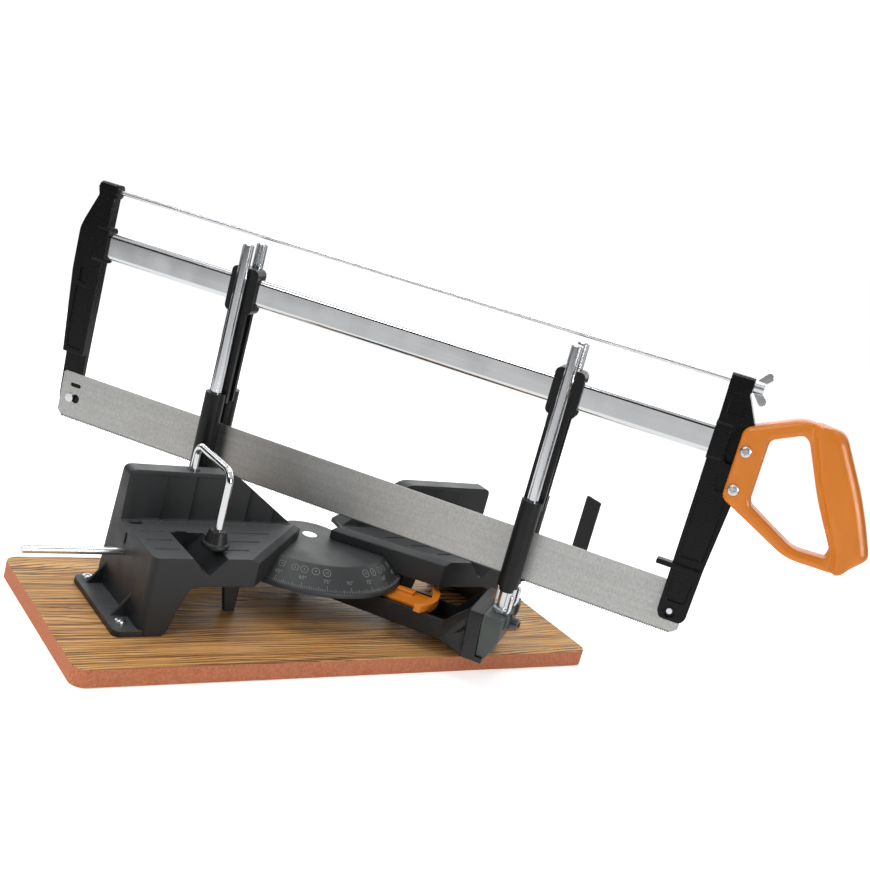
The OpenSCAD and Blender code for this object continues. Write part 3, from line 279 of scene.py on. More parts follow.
def oak_print(name):
    """Printed oak: dark, wavy grain lines and short pores along X, on a golden ground."""
    m = Nodes(name)
    drift = m.noise(1.0, 2.0, 0.5, m.mapped((1.7, 6.5, 1.0)))
    ripple = m.noise(1.0, 3.0, 0.6, m.mapped((14.0, 60.0, 1.0)))
    phase = m.math("ADD", m.math("MULTIPLY", m.axis("Y"), 230.0), m.math("MULTIPLY", drift, 26.0))
    ring = m.math("FRACT", m.math("ADD", phase, m.math("MULTIPLY", ripple, 1.7)))
    width = m.noise(1.0, 2.0, 0.5, m.mapped((9.0, 40.0, 1.0)))
    line = m.grey(m.math("ADD", ring, m.grey(width, -0.34, 0.2)), 0.0, 1.0, 0.62, 0.97)
    pores = m.noise(1.0, 3.0, 0.7, m.mapped((55.0, 1300.0, 60.0)))
    streak = m.noise(1.0, 5.0, 0.62, m.mapped((6.0, 330.0, 20.0)), 0.3)
    tone = m.noise(1.0, 2.0, 0.5, m.mapped((3.0, 11.0, 5.0)))
    ground = m.ramp(tone, (0.3, srgb(208, 152, 88)), (0.7, srgb(234, 184, 118)))
    streaked = m.mix(m.grey(streak, 0.0, 0.9, 0.44, 0.66), ground, srgb(112, 67, 30))
    banded = m.mix(m.grey(line, 0.0, 0.96, 0.0, 0.8), streaked, srgb(66, 36, 16))
    flecks = m.math("MULTIPLY", m.grey(pores, 0.0, 1.0, 0.52, 0.66), m.grey(line, 0.25, 0.95, 0.0, 1.0))
    m.colour(m.mix(flecks, banded, srgb(64, 38, 20)))
    m.roughness(m.grey(pores, 0.36, 0.5))
    m.bump(pores, 0.05, 0.0003)
    m.set(Specular_IOR_Level=0.3)
    return m.mat


def fibre_edge(name):
    """Bare edge of the fibreboard, tinted by its seal, with pale specks."""
    m = Nodes(name)
    fibres = m.noise(500.0, 5.0, 0.7)
    base = m.ramp(fibres, (0.3, srgb(164, 92, 60)), (0.55, srgb(190, 116, 80)), (0.8, srgb(204, 134, 98)))
    specks = m.noise(650.0, 2.0, 0.5)
    m.colour(m.mix(m.grey(specks, 0.0, 0.7, 0.72, 0.78), base, srgb(232, 196, 170)))
    m.roughness(m.grey(fibres, 0.62, 0.8))
    m.bump(fibres, 0.2, 0.0004)
    m.set(Specular_IOR_Level=0.25)
    return m.mat


TOOTH_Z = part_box("saw_blade")[0][2] / MM
MATS = {
    "oak": oak_print("oak_print"),
    "edge": fibre_edge("board_edge"),
    # The second colour is painted light on the up-facing table faces
    "table": table_plastic("table_charcoal", srgb(33, 35, 37), srgb(72, 74, 76)),
    "quadrant": moulded("quadrant_charcoal", srgb(50, 52, 53), 0.42, bump=0.08),
    "arm": sanded("arm_black", srgb(19, 18, 18)),
    "bracket": painted("bracket_green_grey", srgb(68, 73, 70), 0.42, 500.0, 0.12),
    "casting": painted("casting_black", srgb(13, 13, 14), 0.28, 380.0, 0.1, gloss=0.22),
    "guide": moulded("guide_black", srgb(21, 22, 22), 0.36, gloss=0.3),
    "orange": moulded("handle_orange", srgb(210, 119, 20), 0.34, 700.0, 0.05, 0.03, 0.1),
    "zinc": metal("zinc_plate", srgb(234, 236, 239), 0.26, 0.0, (300.0, 300.0, 300.0)),
    "rod": metal("drawn_rod", srgb(226, 228, 231), 0.15, 0.0, (500.0, 500.0, 8.0)),
    "chrome": metal("chrome_tube", srgb(236, 238, 240), 0.09, PHI, (4.0, 500.0, 500.0), 0.02, 0.03),
    "blade": ground_blade("ground_blade"),
    "dark_steel": metal("dark_bolt", srgb(92, 94, 98), 0.35, 0.0, (300.0, 300.0, 300.0)),
    "rubber": moulded("foot_rubber", srgb(24, 24, 25), 0.4, 500.0, 0.12),
    "stop": painted("stop_black", srgb(24, 24, 25), 0.48, 600.0, 0.2),
    "mark": moulded("raised_mark", srgb(122, 125, 126), 0.36, 900.0, 0.05, 0.06),
}

NODE_MATS = {
    "table": ["left_table", "right_table"],
    "quadrant": ["angle_quadrant"],
    "zinc": ["table_screws", "quadrant_screws", "handle_screws", "blade_pins", "pivot_bolt", "pivot_washer",
             "pivot_nut", "front_nut_near", "front_nut_far", "rear_nut_near", "rear_nut_far",
             "tension_wing_nut", "tension_rod", "stop_rod"],
    "arm": ["swing_arm"],
    "orange": ["index_latch", "handle"],
    "bracket": ["front_bracket", "rear_bracket"],
    "dark_steel": ["bracket_bolts"],
    "rod": ["front_rod_near", "front_rod_far", "rear_rod_near", "rear_rod_far"],
    "guide": ["front_guide", "front_sleeve_near", "front_sleeve_far", "rear_guide", "rear_sleeve_near",
              "rear_sleeve_far", "clamp_bush"],
    "chrome": ["back_tube", "clamp_rod"],
    "casting": ["toe_bracket", "heel_bracket"],
    "blade": ["saw_blade"],
    "rubber": ["clamp_foot"],
    "stop": ["stop_plate"],
    "oak": ["base_board"],
}
BODY_OF = {n: body for body, names in frame["record"]["behaviour"]["bodies"].items() for n in names}

for key, names in NODE_MATS.items():
    for name in names:
        mesh = NODES[name].data
        mesh.materials.clear()
        mesh.materials.append(MATS[key])


# Dressed copies: a node's own solid with softened edges

def mesh_of(work, name, *keys):
    """Mesh with the shape of a bmesh, which is freed, and with the materials of the given keys."""
    mesh = bpy.data.meshes.new(name)
    work.to_mesh(mesh)
    work.free()
    for key in keys:
        mesh.materials.append(MATS[key])
    return mesh


def add_detail(name, mesh, node):
    """Links a mesh that rides where a node does."""
    piece = bpy.data.objects.new(name, mesh)
    bpy.context.scene.collection.objects.link(piece)
    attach(piece, BODY_OF[node])
    return piece


def add_piece(name, mesh, node):
    """Links a mesh that rides where a node does and stands for it."""
    piece = add_detail(name, mesh, node)
    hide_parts(node)
    return piece


# Angle in degrees under which two faces are one flat
FLAT_ANGLE = 0.6


def clean_copy(node):
    """The node's mesh with its flat areas joined into single faces."""
    work = bmesh.new()
    work.from_mesh(NODES[node].data)
    bmesh.ops.remove_doubles(work, verts=work.verts, dist=WELD)
    bmesh.ops.dissolve_limit(work, angle_limit=math.radians(FLAT_ANGLE),
                             verts=work.verts, edges=work.edges)
    return work


# Angle above which an edge stays sharp in the shading
SHARP = 42.0
# A rounded edge takes a share of the room beside it. Wide corners don't limit the room,
# and an edge with nothing beside it has more metres of room than any piece is long.
ROOM_SHARE = 0.42
WIDE_CORNER = math.radians(160.0)
FREE_ROOM = 1.0
# Passes over tangled outlines, in which loops with fewer corners than TANGLE_LOOP are drawn together
TANGLE_PASSES = 6
TANGLE_LOOP = 6


def to_edge(point, edge):
    """Distance from a point to an edge."""
    start, end = (v.co for v in edge.verts)
    near, f = intersect_point_line(point, start, end)
    return (point - (start if f < 0.0 else end if f > 1.0 else near)).length


def room_beside(edge):
    """Width that a rounded edge can take from its two faces before it runs into another edge."""
    room = FREE_ROOM
    for face in edge.link_faces:
        for other in face.edges:
            if other is edge:
                continue
            shared = set(edge.verts) & set(other.verts)
            if shared:
                corner = shared.pop()
                one, two = (e.other_vert(corner).co - corner.co for e in (edge, other))
                between = one.angle(two, math.pi)
                if between < WIDE_CORNER:
                    slope = math.tan(min(between / 2, math.pi / 4))
                    room = min(room, min(one.length, two.length) * slope)
            else:
                room = min([room] + [to_edge(v.co, other) for v in edge.verts]
                           + [to_edge(v.co, edge) for v in other.verts])
    return room


def weigh_edges(work, width, angle):
    """Gives each sharp edge a bevel weight: full where there is room beside it, less on small features."""
    layer = work.edges.layers.float.new("bevel_weight_edge")
    for edge in work.edges:
        if len(edge.link_faces) == 2 and edge.calc_face_angle() > math.radians(angle):
            edge[layer] = min(1.0, ROOM_SHARE * room_beside(edge) / (width * MM))


def stitch(work):
    """Closes slivers: splits the long side of an open triangle at its third corner and joins the two."""
    for edge in [e for e in work.edges if e.is_boundary]:
        if not (edge.is_valid and edge.is_boundary):
            continue
        a, b = edge.verts
        ends = [{e.other_vert(v) for e in v.link_edges if e.is_boundary and e is not edge} for v in (a, b)]
        for corner in sorted(ends[0] & ends[1], key=lambda v: v.co[:]):
            run = b.co - a.co
            place = (corner.co - a.co).dot(run) / run.length_squared
            if 0.0 < place < 1.0:
                added = bmesh.utils.edge_split(edge, a, place)[1]
                bmesh.ops.weld_verts(work, targetmap={added: corner})
                break
    bmesh.ops.holes_fill(work, edges=[e for e in work.edges if e.is_boundary], sides=0)


def untangle(work):
    """Draws together the corners of each small loop where a face's outline crosses itself."""
    for _ in range(TANGLE_PASSES):
        merged, used = {}, set()
        for face in work.faces:
            count = len(face.verts)
            if count < 5:
                continue
            across = face.normal.orthogonal().normalized()
            rise = face.normal.cross(across)
            flat = [Vector((v.co.dot(across), v.co.dot(rise))) for v in face.verts]
            flat = [p - flat[0] for p in flat]
            for k in range(count):
                for step in range(2, min(TANGLE_LOOP, count - 2)):
                    ends = [flat[j % count] for j in (k, k + 1, k + step, k + step + 1)]
                    loop = [face.verts[(k + 1 + j) % count] for j in range(step)]
                    if intersect_line_line_2d(*ends) is not None and not used.intersection(loop):
                        used.update(loop)
                        merged.update({v: loop[0] for v in loop[1:]})
                        break
        if not merged:
            return
        bmesh.ops.weld_verts(work, targetmap=merged)
        bmesh.ops.dissolve_degenerate(work, edges=work.edges, dist=WELD)


def drop_strays(work):
    """Draws together pinched edges, and deletes edges and corners that no face uses."""
    bmesh.ops.collapse(work, edges=[e for e in work.edges if len(e.link_faces) > 2])
    bmesh.ops.delete(work, geom=[e for e in work.edges if not e.link_faces], context="EDGES")
    bmesh.ops.delete(work, geom=[v for v in work.verts if not v.link_faces], context="VERTS")


def rounded(work, name, width, segments, angle):
    """Mesh with the edges sharper than angle rounded, and free of empty faces."""
    weigh_edges(work, width, angle)
    mesh = mesh_of(work, name)
    holder = bpy.data.objects.new(name, mesh)
    bpy.context.scene.collection.objects.link(holder)
    bevel = holder.modifiers.new("edge", "BEVEL")
    bevel.width = width * MM
    bevel.segments = segments
    bevel.limit_method = "WEIGHT"
    bevel.use_clamp_overlap = False
    bevel.miter_outer = "MITER_ARC"
    ready = holder.evaluated_get(bpy.context.evaluated_depsgraph_get())
    done = bpy.data.meshes.new_from_object(ready)
    bpy.data.objects.remove(holder)
    bpy.data.meshes.remove(mesh)
    clean = bmesh.new()
    clean.from_mesh(done)
    bmesh.ops.remove_doubles(clean, verts=clean.verts, dist=WELD)
    bmesh.ops.dissolve_degenerate(clean, edges=clean.edges, dist=WELD)
    untangle(clean)
    stitch(clean)
    drop_strays(clean)
    bmesh.ops.triangulate(clean, faces=[f for f in clean.faces if len(f.verts) > 4])
    bmesh.ops.recalc_face_normals(clean, faces=clean.faces)
    for face in clean.faces:
        face.smooth = True
    for edge in clean.edges:
        edge.smooth = len(edge.link_faces) == 2 and edge.calc_face_angle() < math.radians(SHARP)
    clean.to_mesh(done)
    clean.free()
    done.name = name
    return done


def flat_shading(piece):
    """Keeps the flats flat in the shading, with the rounded edges between them."""
    normals = piece.modifiers.new("normals", "WEIGHTED_NORMAL")
    normals.weight = 60
    normals.keep_sharp = True


def dressed(node, width, segments, angle):
    """Adds a node's copy with its edges rounded."""
    mesh = rounded(clean_copy(node), node + "_body", width, segments, angle)
    mesh.materials.clear()
    mesh.materials.append(NODES[node].data.materials[0])
    flat_shading(add_piece(node + "_dressed", mesh, node))


for node, width, segments, angle in (
        ("left_table", 0.9, 3, 32), ("right_table", 0.9, 3, 32), ("angle_quadrant", 0.8, 3, 32),
        ("swing_arm", 0.8, 2, 32), ("index_latch", 0.9, 3, 32), ("front_bracket", 1.0, 3, 32),
        ("rear_bracket", 1.0, 3, 32), ("toe_bracket", 0.9, 3, 35), ("heel_bracket", 0.9, 3, 35),
        ("front_guide", 0.7, 3, 32), ("rear_guide", 0.7, 3, 32), ("stop_plate", 0.5, 2, 32),
        ("front_nut_near", 0.7, 3, 40), ("front_nut_far", 0.7, 3, 40), ("rear_nut_near", 0.7, 3, 40),
        ("rear_nut_far", 0.7, 3, 40), ("tension_wing_nut", 0.7, 3, 40), ("clamp_foot", 0.4, 3, 25),
        ("front_sleeve_near", 0.7, 3, 40), ("front_sleeve_far", 0.7, 3, 40),
        ("rear_sleeve_near", 0.7, 3, 40), ("rear_sleeve_far", 0.7, 3, 40)):
    dressed(node, width, segments, angle)


# Handle: a ring between its outline and the finger opening, with a thick, well rounded grip.
# Lengths run along the blade from HEEL, and heights from the board's underside.
HEEL = 315.0
HANDLE_EDGE = 21.0
HANDLE_L = 145.0
GRIP_W = 31.0
POST = 42.0
HANDLE_LOW, HANDLE_TOP = (corner[2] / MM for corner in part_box("handle"))
HANDLE_H = HANDLE_TOP - HANDLE_LOW
TUBE_Z = sum(corner[2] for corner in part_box("back_tube")) / 2 / MM
RING_MID = Vector((75.0, TUBE_Z - 23.0))
CORNER_STEPS = 6
CORNER_SHARE = 0.45


def soften(points, radii):
    """Closed outline with each corner rounded over its radius."""
    out = []
    count = len(points)
    for k, (point, radius) in enumerate(zip(points, radii)):
        mid = Vector(point)
        before = Vector(points[k - 1]) - mid
        after = Vector(points[(k + 1) % count]) - mid
        reach = min(radius, CORNER_SHARE * before.length, CORNER_SHARE * after.length)
        a = mid + before.normalized() * reach
        c = mid + after.normalized() * reach
        for j in range(CORNER_STEPS + 1):
            f = j / CORNER_STEPS
            out.append(a * (1 - f) ** 2 + mid * (2 * f * (1 - f)) + c * f ** 2)
    return out


HANDLE_OUTLINE = soften([
    (HANDLE_EDGE, TUBE_Z + 17.2), (HANDLE_EDGE + 0.285 * HANDLE_L, HANDLE_TOP),
    (0.67 * HANDLE_L, HANDLE_TOP), (0.876 * HANDLE_L, HANDLE_TOP - 0.45 * HANDLE_H),
    (HANDLE_L, HANDLE_LOW + 0.18 * HANDLE_H), (0.876 * HANDLE_L, HANDLE_LOW),
    (HANDLE_EDGE + 0.43 * HANDLE_L, HANDLE_LOW), (HANDLE_EDGE, TUBE_Z - 43.5)],
    (6, 6, 8, 20, 6, 6, 10, 5))
OPENING_LOW = HANDLE_LOW + 0.088 * HANDLE_H
OPENING_TOP = HANDLE_TOP - 0.103 * HANDLE_H
FINGER_OPENING = soften([
    (POST + 1.3, TUBE_Z + 13.5), (POST + 0.173 * HANDLE_L, OPENING_TOP),
    (POST + 0.21 * HANDLE_L, OPENING_TOP - 3.5), (0.845 * HANDLE_L - GRIP_W, HANDLE_TOP - 0.502 * HANDLE_H),
    (HANDLE_L - GRIP_W, HANDLE_LOW + 0.155 * HANDLE_H), (HANDLE_L - GRIP_W - 1.5, OPENING_LOW),
    (POST + 0.31 * HANDLE_L, OPENING_LOW - 0.9), (POST + 1.3, TUBE_Z - 41.7)],
    (5, 5, 3, 12, 4, 2, 8, 5))
# Line where the flat web steps up to the grip, from below the handle to above it
GRIP_LINE = ((0.86 * HANDLE_L, HANDLE_LOW - 9), (0.817 * HANDLE_L, HANDLE_LOW + 0.172 * HANDLE_H),
             (0.626 * HANDLE_L, HANDLE_TOP - 0.387 * HANDLE_H), (0.525 * HANDLE_L, HANDLE_TOP - 7.6),
             (0.51 * HANDLE_L, HANDLE_TOP + 9))
# Cosine of that line's mean lean
GRIP_LEAN = 0.88
# Half thicknesses, and the span across the line over which one rises to the other
WEB_HALF = 9.5
GRIP_HALF = 12.0
STEP_SPAN = (-0.7, 0.9)
# Drop and reach of the web's slopes at the outline and at the opening
OUTER_SLOPE = (1.4, 4.2)
HOLE_SLOPE = (1.1, 4.0)
# Groove beside the grip: its depth and the spans over which it falls and rises
GROOVE_DEPTH = 1.2
GROOVE_FALL = (-4.2, -2.0)
GROOVE_RISE = (-2.0, -0.4)
# Radii of the round edges, and the span over which the outer one widens on the grip
WEB_EDGE_R = 2.0
GRIP_EDGE_R = 9.0
HOLE_EDGE_R = 2.4
WIDENING = (2.0, 12.0)
# Distances of the rows of corners from the outline and from the opening, the number of steps between
# these two groups, and the share of the ring's width that each group may take
FROM_EDGE = (0.0, 0.15, 0.5, 1.0, 1.7, 2.6, 3.6, 4.8, 6.2, 7.8, 9.4)
FROM_HOLE = (0.0, 0.15, 0.5, 1.0, 1.8, 3.0, 4.0, 4.8, 5.4, 6.0, 6.6, 7.2, 8.0, 9.0)
BETWEEN = 5
ROW_SHARE = 0.45
# Even bearings round the ring, and the least turn in radians between two that are kept
RING_STEPS = 144
LEAST_TURN = 0.006


def to_loop(point, loop):
    """Distance from a point to a closed outline."""
    best = 1e9
    for k, end in enumerate(loop):
        start = loop[k - 1]
        run = end - start
        if run.length_squared > 0:
            f = max(0.0, min(1.0, (point - start).dot(run) / run.length_squared))
            best = min(best, (start + run * f - point).length)
    return best


def ray_hit(angle, loop):
    """Point where a ray from the ring's middle meets a closed outline."""
    ray = Vector((math.cos(angle), math.sin(angle)))
    for k, end in enumerate(loop):
        start = loop[k - 1]
        run = end - start
        det = ray.x * run.y - ray.y * run.x
        if abs(det) < 1e-9:
            continue
        gap = start - RING_MID
        far = (gap.x * run.y - gap.y * run.x) / det
        f = (gap.x * ray.y - gap.y * ray.x) / det
        if far > 0 and -1e-6 <= f <= 1 + 1e-6:
            return RING_MID + ray * far
    raise ValueError("no hit")


def ease(value, low, high):
    """Smooth step from 0 at low to 1 at high."""
    f = max(0.0, min(1.0, (value - low) / (high - low)))
    return f * f * (3 - 2 * f)


def grip_side(point):
    """Distance to the right of the line where the grip begins."""
    for (x0, z0), (x1, z1) in zip(GRIP_LINE, GRIP_LINE[1:]):
        if z0 <= point.y <= z1:
            return (point.x - x0 - (x1 - x0) * (point.y - z0) / (z1 - z0)) * GRIP_LEAN
    raise ValueError("the point is above or below the line")


def quarter(radius, depth):
    """Drop of a round edge at a distance from it."""
    left = radius - min(depth, radius)
    return radius - math.sqrt(radius * radius - left * left)


def slope_drop(drop, reach, depth):
    """Drop of a straight slope at a distance from its edge."""
    return drop * max(0.0, 1 - depth / reach)


def handle_half(point):
    """Half the handle's thickness at a point of its outline plane."""
    inside, hole = to_loop(point, HANDLE_OUTLINE), to_loop(point, FINGER_OPENING)
    grip = grip_side(point)
    step = ease(grip, *STEP_SPAN)
    slope = (1 - step) * (slope_drop(*OUTER_SLOPE, inside) + slope_drop(*HOLE_SLOPE, hole))
    groove = GROOVE_DEPTH * ease(grip, *GROOVE_FALL) * (1 - ease(grip, *GROOVE_RISE))
    edge = quarter(WEB_EDGE_R + (GRIP_EDGE_R - WEB_EDGE_R) * ease(grip, *WIDENING), inside)
    rounding = max(edge, quarter(HOLE_EDGE_R, hole))
    return WEB_HALF + (GRIP_HALF - WEB_HALF) * step - slope - groove - rounding


def ring_angles():
    """Bearings of the ring's cross-sections: even ones, and one through each corner of the outlines."""
    corners = HANDLE_OUTLINE + FINGER_OPENING
    angles = sorted([math.atan2(p.y - RING_MID.y, p.x - RING_MID.x) for p in corners]
                    + [math.radians(360 / RING_STEPS * k) - math.pi for k in range(RING_STEPS)])
    kept = [angles[0]]
    for angle in angles[1:]:
        if angle - kept[-1] > LEAST_TURN and kept[0] + 2 * math.pi - angle > LEAST_TURN:
            kept.append(angle)
    return kept


def handle_piece():
    work = bmesh.new()
    rings = []
    for angle in ring_angles():
        outer, inner = ray_hit(angle, HANDLE_OUTLINE), ray_hit(angle, FINGER_OPENING)
        run = inner - outer
        length = run.length
        k_edge = min(1.0, ROW_SHARE * length / FROM_EDGE[-1])
        k_hole = min(1.0, ROW_SHARE * length / FROM_HOLE[-1])
        places = [d * k_edge for d in FROM_EDGE]
        last = length - FROM_HOLE[-1] * k_hole
        places += [places[-1] + (last - places[-1]) * j / BETWEEN for j in range(1, BETWEEN)]
        places += [length - d * k_hole for d in reversed(FROM_HOLE)]
        points = [outer + run * (d / length) for d in places]
        halves = [handle_half(p) for p in points]
        rings.append([[work.verts.new(arm(HEEL + p.x, side * h, p.y)) for p, h in zip(points, halves)]
                      for side in (-1, 1)])
    for k, (near, far) in enumerate(rings):
        last_near, last_far = rings[k - 1]
        for j in range(len(near) - 1):
            work.faces.new([near[j], near[j + 1], last_near[j + 1], last_near[j]])
            work.faces.new([far[j], last_far[j], last_far[j + 1], far[j + 1]])
        for j in (0, -1):
            work.faces.new([near[j], last_near[j], last_far[j], far[j]])
    bmesh.ops.recalc_face_normals(work, faces=work.faces)
    for face in work.faces:
        face.smooth = True
    add_piece("handle_grip", mesh_of(work, "handle_grip", "orange"), "handle")


handle_piece()


# Board: printed top and underside, bare edges
# Upward part of the normal above which a face is printed
PRINTED = 0.9


def board_piece():
    mesh = rounded(clean_copy("base_board"), "board_panel", 0.7, 2, 40)
    mesh.materials.clear()
    mesh.materials.append(MATS["oak"])
    mesh.materials.append(MATS["edge"])
    for face in mesh.polygons:
        face.material_index = 0 if abs(face.normal.z) > PRINTED else 1
    flat_shading(add_piece("board_panel", mesh, "base_board"))


board_piece()


# Blade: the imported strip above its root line, and a row of fine set teeth below it
ROOT_CUT = 2.6
TOOTH_PITCH = 2.0
TOOTH_DEPTH = 1.5
TOOTH_SET = 0.2
BLADE_HALF = 0.5
BLADE_CLIP = 6.0
TOE_END = -276.0
HEEL_END = 336.0
CUT_TOLERANCE = 1e-7


def teeth_row(work):
    """One closed strip whose lower edge is a saw line, with alternate tips bent aside."""
    cut_z = TOOTH_Z + ROOT_CUT
    root_z = TOOTH_Z + TOOTH_DEPTH
    start, end = TOE_END + BLADE_CLIP, HEEL_END - BLADE_CLIP
    count = int((end - start) / TOOTH_PITCH)
    pitch = (end - start) / count
    sides = []
    for n in (-BLADE_HALF, BLADE_HALF):
        tops, roots, tips = [], [], []
        for k in range(count + 1):
            s = start + k * pitch
            end_shift = {0: -ROOT_CUT, count: ROOT_CUT}.get(k, 0.0)
            tops.append(work.verts.new(arm(s + end_shift, n, cut_z)))
            roots.append(work.verts.new(arm(s, n, root_z)) if k else None)
            bend = TOOTH_SET * (1 if k % 2 else -1)
            tips.append(work.verts.new(arm(s, n + bend, TOOTH_Z)) if k < count else None)
        sides.append((tops, roots, tips))
    faces = []
    for tops, roots, tips in sides:
        for k in range(count):
            ring = [tops[k], tops[k + 1], roots[k + 1], tips[k]]
            faces.append(ring + ([roots[k]] if k else []))
    (tops, roots, tips), (far_tops, far_roots, far_tips) = sides
    for k in range(count):
        faces.append([tops[k], tops[k + 1], far_tops[k + 1], far_tops[k]])
        faces.append([tips[k], roots[k + 1], far_roots[k + 1], far_tips[k]])
        if k:
            faces.append([roots[k], tips[k], far_tips[k], far_roots[k]])
    faces.append([tops[0], tips[0], far_tips[0], far_tops[0]])
    faces.append([tops[count], roots[count], far_roots[count], far_tops[count]])
    for ring in faces:
        work.faces.new(ring)


def blade_piece():
    work = clean_copy("saw_blade")
    root = (0, 0, (TOOTH_Z + ROOT_CUT) * MM)
    cut = bmesh.ops.bisect_plane(work, geom=work.verts[:] + work.edges[:] + work.faces[:], plane_co=root,
                                 plane_no=(0, 0, 1), dist=CUT_TOLERANCE, clear_inner=True)
    rim = [e for e in cut["geom_cut"] if isinstance(e, bmesh.types.BMEdge)]
    bmesh.ops.contextual_create(work, geom=rim)
    teeth_row(work)
    bmesh.ops.recalc_face_normals(work, faces=work.faces)
    add_piece("blade_strip", mesh_of(work, "blade_strip", "blade"), "saw_blade")


blade_piece()


# Dial: raised numbers, frame signs and ticks on the quadrant's slope
FLAT_R = 70.5
RIM_R = 91.0
DOME_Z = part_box("angle_quadrant")[1][2] / MM
BAND_H = 17.0
SLOPE = math.hypot(RIM_R - FLAT_R, BAND_H)
RELIEF = 0.28
# Heights up the slope from the rim: the ticks' feet, and the middles of the figures and the frame signs
TICK_V = 1.6
FIGURE_V = 11.2
SIGN_V = 19.6
FIGURE_SIZE = 5.0
SIGN_FIGURE_SIZE = 3.4
FIGURE_WELD = 1e-4
SIGN_R = 3.7
SIGN_LINE = 0.55
# Degrees between ticks of a kind, with the length and half width of each
TICKS = ((15, 5.2, 0.2), (5, 3.4, 0.2), (1, 2.2, 0.13))
# A frame sign with this many sides or more is drawn round
ROUND_FROM = 12
ROUND_SIDES = 24


def on_slope(turn, u, v, w):
    """Point at v up the slope from the rim and u sideways from the angle turn, raised by w."""
    run, rise = (RIM_R - FLAT_R) / SLOPE, BAND_H / SLOPE
    radius = RIM_R - v * run
    angle = math.radians(turn) + u / radius
    out = radius + w * rise
    height = DOME_Z - BAND_H + v * rise + w * run
    return Vector((out * math.sin(angle), -out * math.cos(angle), height)) * MM


def slope_place(turn, rise=0.0):
    """Function that puts (u, v, w) on the slope at the angle turn, with v counted from rise."""
    return lambda u, v, w: on_slope(turn, u, rise + v, w)


def prism(work, outline, place, low, high):
    """Closed prism over an outline of (u, v) points, put in place by a function."""
    lower = [work.verts.new(place(u, v, low)) for u, v in outline]
    upper = [work.verts.new(place(u, v, high)) for u, v in outline]
    work.faces.new(upper)
    work.faces.new(lower[::-1])
    for k in range(len(outline)):
        m = (k + 1) % len(outline)
        work.faces.new([lower[k], lower[m], upper[m], upper[k]])


def letters(work, words, size, place):
    """Adds raised plain figures, centred on place."""
    curve = bpy.data.curves.new("figures", "FONT")
    curve.body = words
    curve.size = size
    curve.align_x = "CENTER"
    curve.align_y = "CENTER"
    curve.extrude = RELIEF
    curve.resolution_u = 3
    text = bpy.data.objects.new("figures", curve)
    bpy.context.scene.collection.objects.link(text)
    ready = text.evaluated_get(bpy.context.evaluated_depsgraph_get())
    mesh = bpy.data.meshes.new_from_object(ready)
    bpy.data.objects.remove(text)
    bpy.data.curves.remove(curve)
    figures = bmesh.new()
    figures.from_mesh(mesh)
    bpy.data.meshes.remove(mesh)
    bmesh.ops.remove_doubles(figures, verts=figures.verts, dist=FIGURE_WELD)
    verts = {v: work.verts.new(place(*v.co)) for v in figures.verts}
    for face in figures.faces:
        work.faces.new([verts[v] for v in face.verts])
    figures.free()


def ring(work, sides, radius, line, place):
    """Raised outline of a regular frame, as one closed band."""
    count = sides if sides < ROUND_FROM else ROUND_SIDES
    turn = math.pi / count if count % 2 == 0 else 0.0
    angles = [turn + 2 * math.pi * k / count for k in range(count)]
    loops = []
    for r, w in ((radius, -RELIEF), (radius, RELIEF), (radius - line, RELIEF), (radius - line, -RELIEF)):
        loops.append([work.verts.new(place(r * math.sin(a), r * math.cos(a), w)) for a in angles])
    for a in range(4):
        one, two = loops[a], loops[(a + 1) % 4]
        for k in range(count):
            m = (k + 1) % count
            work.faces.new([one[k], one[m], two[m], two[k]])


def add_marks(work, name, node):
    """Adds raised marks that ride where their node does."""
    bmesh.ops.recalc_face_normals(work, faces=work.faces)
    add_detail(name, mesh_of(work, name, "mark"), node)


def dial_marks():
    work = bmesh.new()
    for degree in range(-50, 51):
        length, half = next(kind[1:] for kind in TICKS if degree % kind[0] == 0)
        outline = [(-half, TICK_V), (half, TICK_V), (half, TICK_V + length), (-half, TICK_V + length)]
        prism(work, outline, slope_place(degree), -RELIEF, RELIEF)
    for degree in (-45, -30, -15, 0, 15, 30, 45):
        label = str(90 - abs(degree)) + chr(176)
        letters(work, label, FIGURE_SIZE, slope_place(degree, FIGURE_V))
    for sides in (4, 5, 6, 8, 12):
        for side in (-1, 1):
            place = slope_place(side * 180.0 / sides, SIGN_V)
            ring(work, sides, SIGN_R, SIGN_LINE, place)
            letters(work, str(sides), SIGN_FIGURE_SIZE, place)
    add_marks(work, "dial_marks", "angle_quadrant")


dial_marks()


# Rules along the fences: fine ticks on the table tops
RULE_Y = -9.2
RULE_START = 36.0
RULE_END = 167.0
RULE_STEP = 2.5
RULE_HALF = 0.18
RULE_LONG = 5.5
RULE_SHORT = 3.2
LONG_EVERY = 4
RULE_SUNK = 0.2
RULE_RELIEF = 0.16
# Height of a fence above its table top
FENCE_H = 43.5


def table_rule(node, side):
    work = bmesh.new()
    top = (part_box(node)[1][2] / MM) - FENCE_H
    for k in range(int((RULE_END - RULE_START) / RULE_STEP) + 1):
        x = side * (RULE_START + k * RULE_STEP)
        length = RULE_SHORT if k % LONG_EVERY else RULE_LONG
        start, end = x - RULE_HALF, x + RULE_HALF
        outline = [(start, RULE_Y - length), (end, RULE_Y - length), (end, RULE_Y), (start, RULE_Y)]
        prism(work, outline, lambda u, v, w: Vector((u, v, top + w)) * MM, -RULE_SUNK, RULE_RELIEF)
    add_marks(work, node + "_rule", node)


table_rule("left_table", -1)
table_rule("right_table", 1)


